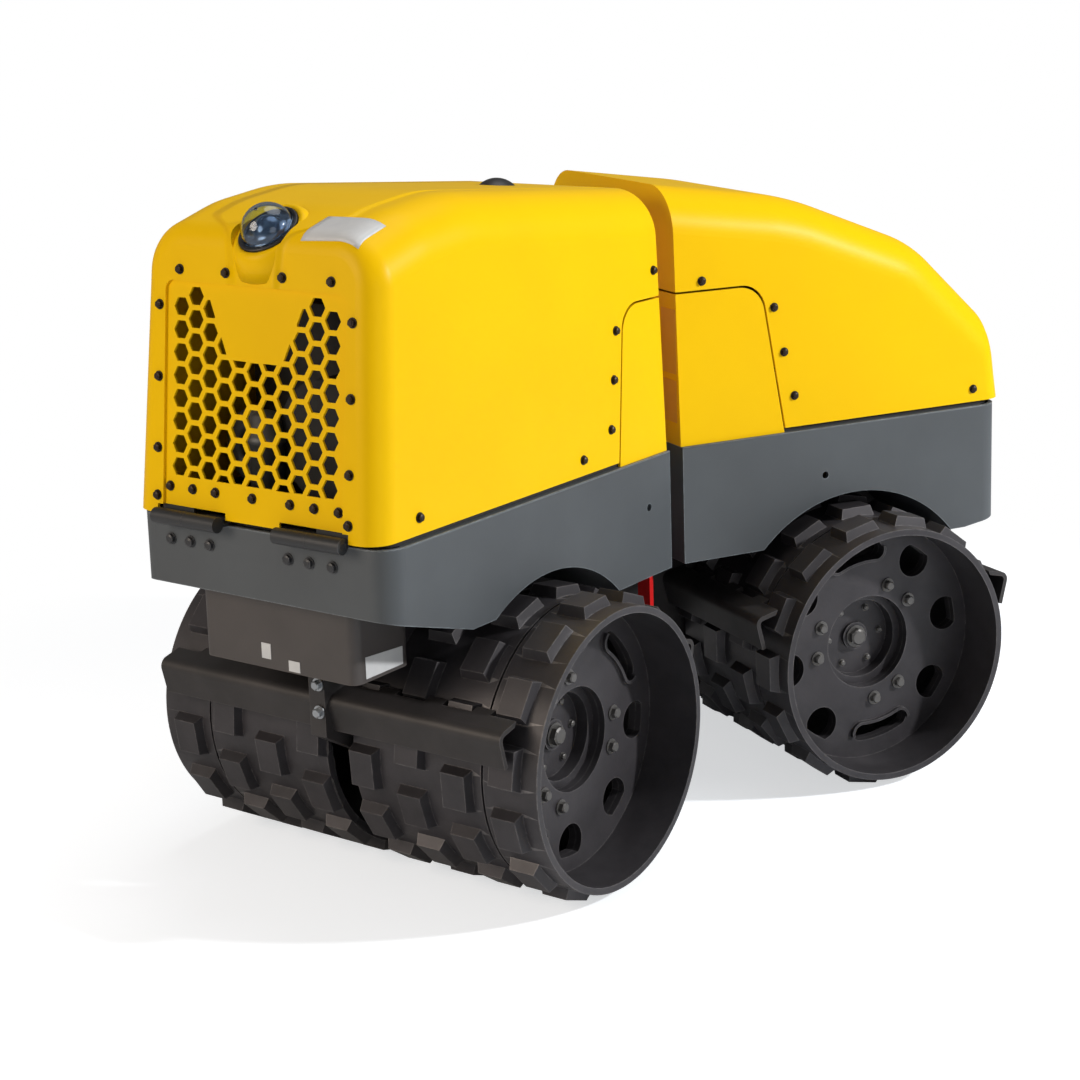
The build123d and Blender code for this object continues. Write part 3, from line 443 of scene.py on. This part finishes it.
def bolts(name, spots, body, slot, finish, head, height, washer, disc, sides=6, crown=0.8):
    """Bolt heads at spots, each a point and an outward axis in metres, made one plain mesh."""
    mesh = bpy.data.meshes.new(name + "_points")
    mesh.from_pydata([tuple(p) for p, n in spots], [], [])
    axis = mesh.attributes.new("axis", "FLOAT_VECTOR", "POINT")
    for i, (p, n) in enumerate(spots):
        axis.data[i].vector = n
    carrier = bpy.data.objects.new(name + "_points", mesh)
    bpy.context.scene.collection.objects.link(carrier)
    modifier = carrier.modifiers.new("heads", "NODES")
    modifier.node_group = HEADS
    values = {"Sides": sides, "Head radius": head, "Head height": height, "Crown": crown,
              "Washer radius": washer, "Washer height": disc, "Finish": finish}
    for item in HEADS.interface.items_tree:
        if item.item_type == "SOCKET" and item.in_out == "INPUT" and item.name in values:
            modifier[item.identifier] = values[item.name]
    evaluated = carrier.evaluated_get(bpy.context.evaluated_depsgraph_get())
    made = bpy.data.meshes.new_from_object(evaluated)
    made.name = name
    bpy.data.objects.remove(carrier)
    obj = bpy.data.objects.new(name, made)
    bpy.context.scene.collection.objects.link(obj)
    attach(obj, body)


def spot(place, point, axis):
    """A point in millimetres and an axis in a half's frame, in the machine's frame."""
    return place @ (Vector(point) / 1000), (place.to_3x3() @ Vector(axis)).normalized()


# Drums, in metres, and how far each pair stands turned in the photograph, in degrees
AXLE = (0.458, 0, 0.26)
TURN = {"front": 188.7, "rear": 128.0}
DRUM_RADIUS = 0.242
DRUM_SKIN = 0.0008
WEB_FACE = 0.284
WEB_REACH = 0.209

# Pads: as modelled, and how much longer and wider they are shown, at the top and at the root.
# A spread is how far from its middle a point still belongs to a pad, a window or a slot.
PAD_REACH = 0.260
PAD_MIDDLE = 0.008
PAD_SPREAD = 0.0262
PADS_ROUND = 14
PAD_ROWS = (0.056, 0.154, 0.252, 0.350)
PAD_ROWS_SHOWN = (0.059, 0.156, 0.253, 0.350)
PAD_LONGER = {"top": 1.66, "root": 1.58}
PAD_WIDER = {"top": 1.29, "root": 1.25}
PAD_TOP_HALF = 0.0185 * PAD_LONGER["top"]

# Windows: six round ones, cut off toward the rim, and two long slots, eight places round the web
WINDOW_CIRCLE = 0.180
WINDOW_STEP = pi / 4
FIRST_SLOT = radians(313)
WINDOW_SPREAD = 0.0290
WINDOW_CUT = 0.017
WINDOW_CUT_SHOWN = 0.023
WINDOW_CUT_LONGER = 1.03
WINDOW_LARGER = 1.18
SLOT_SPREAD = 0.0215
SLOT_TURN = radians(21)
SLOT_LARGER = 1.1
SAME = 0.0004


def place_of_drum(half, side):
    """Frame of a drum: its axis along +Y pointing out, turned as it stands in the photograph."""
    middle = HALF[half] @ Matrix.Translation(AXLE)
    if side == "left":
        return middle @ Matrix.Rotation(radians(-TURN[half]), 4, "Y")
    return middle @ Matrix.Rotation(radians(TURN[half]), 4, "Y") @ Matrix.Rotation(radians(180), 4, "Z")


def wider_window(point):
    """A point on a web's edge moved so that its round window or long slot gets the full size."""
    far = hypot(point.x, point.z)
    turn = atan2(point.z, point.x) - FIRST_SLOT
    nearest = WINDOW_STEP * round(turn / WINDOW_STEP)
    offset = turn - nearest
    in_slot = round(turn / WINDOW_STEP) % 4 == 0
    out = far - WINDOW_CIRCLE
    if in_slot:
        if abs(out) > SLOT_SPREAD or abs(offset) > SLOT_TURN:
            return point
        offset *= SLOT_LARGER
        out *= SLOT_LARGER
    elif hypot(offset * WINDOW_CIRCLE, out) > WINDOW_SPREAD:
        return point
    elif abs(out - WINDOW_CUT) < SAME:
        offset *= WINDOW_CUT_LONGER
        out = WINDOW_CUT_SHOWN
    else:
        offset *= WINDOW_LARGER
        out *= WINDOW_LARGER
    angle = FIRST_SLOT + nearest + offset
    return Vector(((WINDOW_CIRCLE + out) * cos(angle), point.y, (WINDOW_CIRCLE + out) * sin(angle)))


def grown(point):
    """A drum's point moved so that its pad or window gets the full size, other points as they are."""
    far = hypot(point.x, point.z)
    if far < DRUM_RADIUS - DRUM_SKIN:
        return wider_window(point) if point.y > WEB_FACE and far < WEB_REACH else point
    row = min(range(4), key=lambda i: abs(point.y - PAD_ROWS[i]))
    across = point.y - PAD_ROWS[row]
    step = 2 * pi / PADS_ROUND
    angle = atan2(point.x, point.z) - 0.5 * step * (row % 2)
    nearest = step * round(angle / step)
    offset = angle - nearest
    level = "top" if far > DRUM_RADIUS + PAD_MIDDLE else "root"
    if abs(across) > PAD_SPREAD or abs(offset) * far > PAD_SPREAD:
        return point
    shown = PAD_ROWS_SHOWN[row] + across * PAD_WIDER[level]
    nearest += 0.5 * step * (row % 2)
    if level == "root":
        around = nearest + offset * PAD_LONGER["root"]
        return Vector((far * sin(around), shown, far * cos(around)))
    height = sqrt(PAD_REACH**2 - PAD_TOP_HALF**2)
    sideways = tan(offset) * far * PAD_LONGER["top"]
    return Vector((height * sin(nearest) + sideways * cos(nearest), shown,
                   height * cos(nearest) - sideways * sin(nearest)))


def drum_piece(name, half, side):
    """The visible drum or ring: the modelled one with its pads grown and its edges eased."""
    place = place_of_drum(half, side)
    back = place.inverted()
    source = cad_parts[name].data
    spots, number, faces = [], {}, []
    for polygon in source.polygons:
        corners = []
        for index in polygon.vertices:
            local = grown(back @ source.vertices[index].co)
            key = tuple(round(value, 5) for value in local)
            if key not in number:
                number[key] = len(spots)
                spots.append(place @ local)
            corners.append(number[key])
        if len(set(corners)) == len(corners):
            faces.append(corners)
    made = add_mesh(name + "_dressed", spots, faces, IRON, half + "_drums", smooth=True)
    made.data.set_sharp_from_angle(angle=radians(28))
    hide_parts(name)


for half in HALF:
    for side in ("left", "right"):
        for part in ("drum", "drum_ring"):
            drum_piece(f"{half}_{part}_{side}", half, side)


# Bolts of drums and hubs: circles, and how far out each seat lies, in millimetres
WEB_BOLTS = dict(circle=115, out=311, pairs=3, apart=15)
HUB_SCREW_OUT = 268
FLANGE_SCREWS = dict(circle=58, out=261, count=6, turn=10)

for half in HALF:
    web, hub, inner = [], [], []
    for side in (place_of_drum(half, "left"), place_of_drum(half, "right")):
        for pair in range(WEB_BOLTS["pairs"]):
            for offset in (-WEB_BOLTS["apart"], WEB_BOLTS["apart"]):
                turn = -360 / WEB_BOLTS["pairs"] * pair - offset
                around = side @ Matrix.Rotation(radians(turn), 4, "Y")
                web.append(spot(around, (WEB_BOLTS["circle"], WEB_BOLTS["out"], 0), (0, 1, 0)))
        hub.append(spot(side, (0, HUB_SCREW_OUT, 0), (0, 1, 0)))
        for i in range(FLANGE_SCREWS["count"]):
            turn = 360 / FLANGE_SCREWS["count"] * i + FLANGE_SCREWS["turn"]
            around = side @ Matrix.Rotation(radians(turn), 4, "Y")
            inner.append(spot(around, (FLANGE_SCREWS["circle"], FLANGE_SCREWS["out"], 0), (0, 1, 0)))
    bolts(half + "_web_bolts", web, half + "_drums", "drum_iron", BOLT_IRON, head=0.0095, height=0.008,
          washer=0.0135, disc=0.0025)
    bolts(half + "_hub_screws", hub, half + "_drums", "drum_iron", BOLT_IRON, head=0.017, height=0.010,
          washer=0.0215, disc=0.003)
    bolts(half + "_flange_screws", inner, half + "_drums", "drum_iron", BOLT_IRON, sides=12, head=0.0055,
          height=0.005, crown=0.7, washer=0.007, disc=0.001)

# Bolts of hoods, grille and hinges
DRAFT = tan(radians(2.1))
PANEL_BOLT = dict(head=0.0062, height=0.0045, crown=0.6, washer=0.0085, disc=0.0015)


def cheek(x, z, side):
    """A spot on a hood's or corner panel's side wall."""
    return (x, side * (HOOD_HALF - (z - HOOD_FOOT) * DRAFT), z), (0, side, DRAFT)


SIDE_BOLTS = {"front": ((98, 1009), (224, 920), (238, 836), (254, 751), (341, 715), (780, 715)),
              "rear": ((139, 978), (290, 916), (309, 831), (329, 747), (738, 713))}
for half, table in SIDE_BOLTS.items():
    on_panel, on_hood = [], []
    for x, z in table:
        lean = SEAM_AT_TOP[half] - SEAM_AT_FOOT[half]
        edge = SEAM_AT_FOOT[half] + lean * (z - FRAME_TOP) / (SEAM_TOP - FRAME_TOP)
        target = on_panel if x < edge and z < SEAM_TOP else on_hood
        for side in (-1, 1):
            target.append(spot(HALF[half], *cheek(x, z, side)))
    for label, group, body in (("panel", on_panel, half + "_half"), ("hood", on_hood, half + "_cover")):
        if group:
            bolts(f"{half}_{label}_side_bolts", group, body, "yellow_panels", BOLT_DARK, **PANEL_BOLT)

# The front hood's face, in millimetres: where it starts, and how it leans back over its rise
FACE_START = 882
FACE_LEAN = 48
FACE_RISE = 462


def on_face(y, v, depth=0.0):
    """A spot on the sloping face of the front hood: v up the slope, depth behind it."""
    length = hypot(FACE_LEAN, FACE_RISE)
    up = Vector((-FACE_LEAN / length, 0, FACE_RISE / length))
    out = Vector((FACE_RISE / length, 0, FACE_LEAN / length))
    return tuple(Vector((FACE_START, y, HOOD_FOOT)) + up * v - out * depth), tuple(out)


grille_bolts = [spot(FRONT, *on_face(y, v)) for y in (-204, 204) for v in (29, 107, 223, 339)]
grille_bolts += [spot(FRONT, *on_face(y, 398)) for y in (-160, -60, 60, 160)]
bolts("grille_frame_bolts", grille_bolts, "front_cover", "yellow_panels", BOLT_DARK, **PANEL_BOLT)
foot_bolts = [spot(FRONT, *on_face(y, 46, 5)) for y in (-180, -130, -80, 0, 80, 130, 180)]
bolts("grille_foot_bolts", foot_bolts, "front_cover", "yellow_panels", BOLT_DARK, **PANEL_BOLT)
HINGE_BOLT_HEIGHT = 643
HINGE_BOLTS = (-190, -147, -104, 66, 110, 158)
for half, end in FRAME_END.items():
    low = [spot(HALF[half], (end, y, HINGE_BOLT_HEIGHT), (1, 0, 0)) for y in HINGE_BOLTS]
    bolts(half + "_hinge_bolts", low, half + "_half", "hinge_steel", HINGE_STEEL, head=0.0080,
          height=0.005, crown=0.6, washer=0.0102, disc=0.0015)
BRACKET_FACE = 751.5
bracket_spots = [spot(FRONT, (BRACKET_FACE, 6, z), (1, 0, 0)) for z in (392, 344)]
bolts("bracket_bolts", bracket_spots, "front_half", "bare_steel", BOLT_BRIGHT, head=0.0085, height=0.007,
      washer=0.0115, disc=0.002)


# Seals along the frames' rims, and folds in a lighter gray that paint the rims' highlight
CORNER_STEPS = 6
SEAL_LEAD = 7


def rim_line(half, start, inset):
    """Points along a frame's rim round both outer corners, each with its outward direction."""
    bend = FRAME_CORNER - inset
    line = [(start, inset - FRAME_HALF, 0, -1)]
    for side, first in ((-1, -90), (1, 0)):
        for i in range(CORNER_STEPS + 1):
            turn = radians(first + 90 / CORNER_STEPS * i)
            line.append((FRAME_END[half] - FRAME_CORNER + bend * cos(turn),
                         side * (FRAME_HALF - FRAME_CORNER) + bend * sin(turn), cos(turn), sin(turn)))
    line.append((start, FRAME_HALF - inset, 0, 1))
    return line


def seal(half, start, inset=13, deep=7, rise=0.6):
    """Rubber strip along the frame's rim that the hood comes down on, round both outer corners."""
    place = HALF[half] @ MM
    line = rim_line(half, start, inset)
    verts, faces = [], []
    for x, y, out_x, out_y in line:
        for z in (FRAME_TOP, HOOD_FOOT + rise):
            verts.append(place @ Vector((x, y, z)))
            verts.append(place @ Vector((x - deep * out_x, y - deep * out_y, z)))
    for i in range(len(line) - 1):
        a, b = 4 * i, 4 * i + 4
        faces += [(a, b, b + 2, a + 2), (a + 1, a + 3, b + 3, b + 1), (a + 2, b + 2, b + 3, a + 3),
                  (a, a + 1, b + 1, b)]
    last = 4 * len(line) - 4
    faces += [(0, 2, 3, 1), (last, last + 1, last + 3, last + 2)]
    add_mesh(half + "_hood_seal", verts, faces, RUBBER, half + "_half")


def rim_highlight_fold(half, start, radius=2.4, proud=0.3, sink=1.8, sides=8):
    """Rounded fold along the frame's upper edge, round both outer corners, in a lighter gray that is a
    painted highlight of that edge.
    """
    place = HALF[half] @ MM
    line = rim_line(half, start, radius)
    verts, faces = [], []
    for x, y, out_x, out_y in line:
        for k in range(sides):
            lean = 2 * pi * k / sides
            reach = (radius + proud) * cos(lean)
            height = FRAME_TOP - sink + radius * sin(lean)
            verts.append(place @ Vector((x + reach * out_x, y + reach * out_y, height)))
    for i in range(len(line) - 1):
        for k in range(sides):
            a, b = i * sides + k, i * sides + (k + 1) % sides
            faces.append((a, b, b + sides, a + sides))
    faces += [tuple(range(sides))[::-1], tuple(range(len(verts) - sides, len(verts)))]
    add_mesh(half + "_rim_highlight_fold", verts, faces, FOLD_HIGHLIGHT_GRAY, half + "_half", smooth=True)


for half in HALF:
    rim_highlight_fold(half, FRAME_START)
for half in HALF:
    seal(half, SEAM_AT_FOOT[half] - SEAL_LEAD)


# Blank plates
def surface_of(name):
    """A modelled node's surface, to drop points on."""
    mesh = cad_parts[name].data
    spots = [vertex.co.copy() for vertex in mesh.vertices]
    return BVHTree.FromPolygons(spots, [tuple(polygon.vertices) for polygon in mesh.polygons])


def plate_on(name, carrier, body, finish, corners, toward, lift=0.0008, gap=0.0001, steps=10):
    """A thin plate laid on a piece: points between its four corners are dropped on to the surface."""
    tree = surface_of(carrier)
    sight = Vector(toward).normalized()
    a, b, c, d = [Vector(p) for p in corners]
    tops, lows = [], []
    for i in range(steps + 1):
        for j in range(steps + 1):
            s, t = i / steps, j / steps
            start = (a * (1 - s) + b * s) * (1 - t) + (d * (1 - s) + c * s) * t
            hit, normal = tree.ray_cast(start - sight * 0.5, sight)[:2]
            if normal.dot(sight) > 0:
                normal = -normal
            tops.append(hit + normal * lift)
            lows.append(hit + normal * gap)
    verts = tops + lows
    count = len(tops)
    row = steps + 1
    faces = []
    for i in range(steps):
        for j in range(steps):
            q = [i * row + j, (i + 1) * row + j, (i + 1) * row + j + 1, i * row + j + 1]
            faces.append(tuple(q))
            faces.append(tuple(count + k for k in reversed(q)))
    rim = [i * row for i in range(row)] + [steps * row + j for j in range(1, row)]
    rim += [i * row + steps for i in range(steps - 1, -1, -1)] + [j for j in range(steps - 1, 0, -1)]
    for k in range(len(rim)):
        p, q = rim[k], rim[(k + 1) % len(rim)]
        faces.append((q, p, count + p, count + q))
    add_mesh(name, verts, faces, finish, body, smooth=True)


PLATE_THICKNESS = 0.8
BOX_FRONT = 836.1
BOX_SIDE = 165.1
GAP_WALL = 83.9


def flat_plate(name, place, corners, finish, body):
    """A flat plate from its four corners in millimetres, thickened outward."""
    points = [place @ (Vector(p) / 1000) for p in corners]
    out = (points[1] - points[0]).cross(points[3] - points[0]).normalized() * (PLATE_THICKNESS / 1000)
    verts = points + [p + out for p in points]
    faces = [(3, 2, 1, 0), (4, 5, 6, 7), (0, 1, 5, 4), (1, 2, 6, 5), (2, 3, 7, 6), (3, 0, 4, 7)]
    add_mesh(name, verts, faces, finish, body)


def upright_plate(name, place, x, y0, y1, z0, z1, finish, body, out=1):
    """A blank plate on an upright wall across a half, facing along +X or, with out=-1, along -X."""
    corners = [(x, y0, z0), (x, y1, z0), (x, y1, z1), (x, y0, z1)]
    flat_plate(name, place, corners if out > 0 else corners[::-1], finish, body)


upright_plate("box_plate_left", FRONT, BOX_FRONT, -34, -14, 456, 482, PLATE, "front_half")
upright_plate("box_plate_right", FRONT, BOX_FRONT, 24, 48, 443, 461, PLATE, "front_half")
side_corners = [(x, BOX_SIDE, z) for x, z in ((812, 446), (722, 446), (722, 476), (812, 482))]
flat_plate("box_plate_side", FRONT, side_corners, PLATE, "front_half")
upright_plate("gap_plate_low", REAR, GAP_WALL, -252, -200, 722, 800, SIGN_YELLOW, "rear_half", -1)
upright_plate("gap_plate_high", REAR, GAP_WALL, -252, -200, 812, 930, SIGN_YELLOW, "rear_half", -1)
ABOVE_HOOD = 1250
plate_outline = ((830, 92), (764, 92), (760, 204), (826, 204))
plate_corners = [FRONT @ (Vector((x, y, ABOVE_HOOD)) / 1000) for x, y in plate_outline]
plate_on("hood_plate", "front_hood", "front_cover", PLATE, plate_corners, (0, 0, -1))


# The receiver's eye on the front hood. Profiles end a hair off the axis, and merging closes their poles.
NEAR_AXIS = 0.01
CROWN = 89.9


def turned(name, profile, place, finish, body, rounds=48):
    """A piece turned about the local Z axis from points of radius and height in millimetres."""
    verts = []
    for i in range(rounds):
        turn = 2 * pi * i / rounds
        for radius, height in profile:
            verts.append(place @ (Vector((radius * cos(turn), radius * sin(turn), height)) / 1000))
    count = len(profile)
    faces = []
    for i in range(rounds):
        a, b = i * count, (i + 1) % rounds * count
        for k in range(count - 1):
            faces.append((a + k, b + k, b + k + 1, a + k + 1))
    return add_mesh(name, verts, faces, finish, body, smooth=True)


def arc(radius, low, high, steps, height=0.0):
    """Points of an arc about the axis, from angle low to high above the base."""
    return [(radius * cos(radians(low + (high - low) * i / steps)),
             height + radius * sin(radians(low + (high - low) * i / steps))) for i in range(steps + 1)]


EYE = FRONT @ Matrix.Translation((0.803, 0, 1.1512)) @ Matrix.Rotation(radians(36), 4, "Y")
EYE_RADIUS = 43.2
EYE_WALL = 2.5
cover_profile = arc(EYE_RADIUS, 0, CROWN, 16) + arc(EYE_RADIUS - EYE_WALL, CROWN, 0, 16) + [(EYE_RADIUS, 0)]
cover = turned("eye_cover", cover_profile, EYE, CLEAR, "front_cover")
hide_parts("front_eye_dome")
core_profile = [(NEAR_AXIS, -4), (41, -4), (41, 1), (33, 2)] + arc(27, 20, CROWN, 8, -4) + [(NEAR_AXIS, -4)]
core = turned("eye_core_dressed", core_profile, EYE, LENS_PAINTED_REFLECTION, "front_cover")
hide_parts("front_eye_core")
flange_profile = [(43, -3), (51, -3), (51, 2), (49.5, 3), (43.6, 3), (43.6, -3), (43, -3)]
turned("eye_flange", flange_profile, EYE, PLASTIC, "front_cover")
collar_profile = [(50, -40), (82, -40), (66, -8), (62.5, -2.5), (58, 0), (53, 0), (51.2, -1.5), (50, -4),
                  (50, -40)]
turned("eye_collar", collar_profile, EYE, YELLOW, "front_cover")


# Starter and blower behind the grille
CAN = FRONT @ Matrix.Translation((0.757, -0.074, 0.700))
can_profile = [(NEAR_AXIS, 0), (29, 0), (29, 92), (33, 94), (33, 106), (29, 108), (24, 140), (10, 146),
               (NEAR_AXIS, 146), (NEAR_AXIS, 0)]
turned("starter_can", can_profile, CAN, BLOWER, "front_half", rounds=32)
RING = FRONT @ Matrix.Translation((0.724, -0.12, 0.775)) @ Matrix.Rotation(radians(90), 4, "Y")
ring_profile = [(34, 0), (66, 0), (66, 10), (58, 16), (40, 16), (34, 10), (34, 0)]
turned("blower_ring", ring_profile, RING, BLOWER, "front_half", rounds=32)

# Floor, world, lamps and camera
scene = bpy.context.scene
scene.view_settings.view_transform = "Standard"
world = bpy.data.worlds.new("studio")
scene.world = world
world.use_nodes = True
sky = world.node_tree
base = sky.nodes["Background"]
base.inputs["Color"].default_value = (1, 1, 1, 1)
base.inputs["Strength"].default_value = 0.15
bright = node(sky, "ShaderNodeBackground", {"Strength": 1.0})
bright.inputs["Color"].default_value = (1, 1, 1, 1)
ray = node(sky, "ShaderNodeLightPath")
mix = node(sky, "ShaderNodeMixShader")
sky.links.new(ray.outputs["Is Camera Ray"], mix.inputs[0])
sky.links.new(base.outputs[0], mix.inputs[1])
sky.links.new(bright.outputs[0], mix.inputs[2])
sky.links.new(mix.outputs[0], sky.nodes["World Output"].inputs["Surface"])

FLOOR_HALF = 30
floor_mesh = bpy.data.meshes.new("floor")
floor_corners = [(x * FLOOR_HALF, y * FLOOR_HALF, 0) for x, y in ((-1, -1), (1, -1), (1, 1), (-1, 1))]
floor_mesh.from_pydata(floor_corners, [], [(0, 1, 2, 3)])
floor = bpy.data.objects.new("floor", floor_mesh)
scene.collection.objects.link(floor)
pale = bpy.data.materials.new("pale_floor")
pale.use_nodes = True
ground = pale.node_tree
matt = ground.nodes["Principled BSDF"]
matt.inputs["Base Color"].default_value = (0.77, 0.8, 0.84, 1)
matt.inputs["Roughness"].default_value = 0.9
matt.inputs["Specular IOR Level"].default_value = 0.1
glow = node(ground, "ShaderNodeEmission", {"Color": (0.97, 0.985, 1.0, 1.0), "Strength": 0.62})
lit = node(ground, "ShaderNodeAddShader")
seen = node(ground, "ShaderNodeLightPath")
either = node(ground, "ShaderNodeMixShader")
ground.links.new(matt.outputs[0], lit.inputs[0])
ground.links.new(glow.outputs[0], lit.inputs[1])
ground.links.new(seen.outputs["Is Camera Ray"], either.inputs[0])
ground.links.new(matt.outputs[0], either.inputs[1])
place = node(ground, "ShaderNodeTexCoord")
reach = node(ground, "ShaderNodeVectorMath", operation="LENGTH")
faraway = node(ground, "ShaderNodeMapRange", {"From Min": 1.25, "From Max": 2.1},
               interpolation_type="SMOOTHSTEP")
white = node(ground, "ShaderNodeEmission", {"Strength": 1.0})
fade = node(ground, "ShaderNodeMixShader")
ground.links.new(place.outputs["Object"], reach.inputs[0])
ground.links.new(reach.outputs["Value"], faraway.inputs["Value"])
ground.links.new(faraway.outputs["Result"], fade.inputs[0])
ground.links.new(lit.outputs[0], fade.inputs[1])
ground.links.new(white.outputs[0], fade.inputs[2])
ground.links.new(fade.outputs[0], either.inputs[2])
ground.links.new(either.outputs[0], ground.nodes["Material Output"].inputs["Surface"])
floor_mesh.materials.append(pale)


def lamp(name, place, target, size, power, color=(1.0, 1.0, 1.0)):
    """A round area lamp that looks at its target."""
    light = bpy.data.lights.new(name, "AREA")
    light.shape = "DISK"
    light.size = size
    light.energy = power
    light.color = color
    obj = bpy.data.objects.new(name, light)
    scene.collection.objects.link(obj)
    obj.location = place
    obj.rotation_euler = (Vector(target) - Vector(place)).to_track_quat("-Z", "Y").to_euler()


lamp("key", (-1.75, 4.7, 3.1), (0, 0, 0.6), 0.35, 270)
lamp("front_fill", (4.2, -1.6, 2.2), (0.3, -0.1, 0.6), 2.4, 88, (1.0, 0.86, 0.72))
lamp("side_fill", (2.6, 3.6, 1.3), (0.1, 0.2, 0.5), 2.0, 10)
lamp("top", (-0.4, 0.2, 4.6), (-0.1, 0, 0.8), 3.2, 52)

# Camera: the photograph's own view
CAMERA_PLACE = (3.2874, 2.3673, 1.5624)
yaw, pitch, roll = radians(214.27), radians(11.43), radians(-1.33)
ahead = Vector((cos(yaw) * cos(pitch), sin(yaw) * cos(pitch), -sin(pitch)))
level = ahead.cross(Vector((0, 0, 1))).normalized()
above = level.cross(ahead)
right = level * cos(roll) + above * sin(roll)
above = above * cos(roll) - level * sin(roll)
lens = bpy.data.cameras.new("camera")
lens.sensor_width = 36
lens.lens = 72.62
lens.shift_x = -0.0826
lens.shift_y = -0.1364
camera = bpy.data.objects.new("camera", lens)
scene.collection.objects.link(camera)
view = Matrix((right, above, -ahead)).transposed().to_4x4()
camera.matrix_world = Matrix.Translation(FRONT @ Vector(CAMERA_PLACE)) @ view
scene.camera = camera
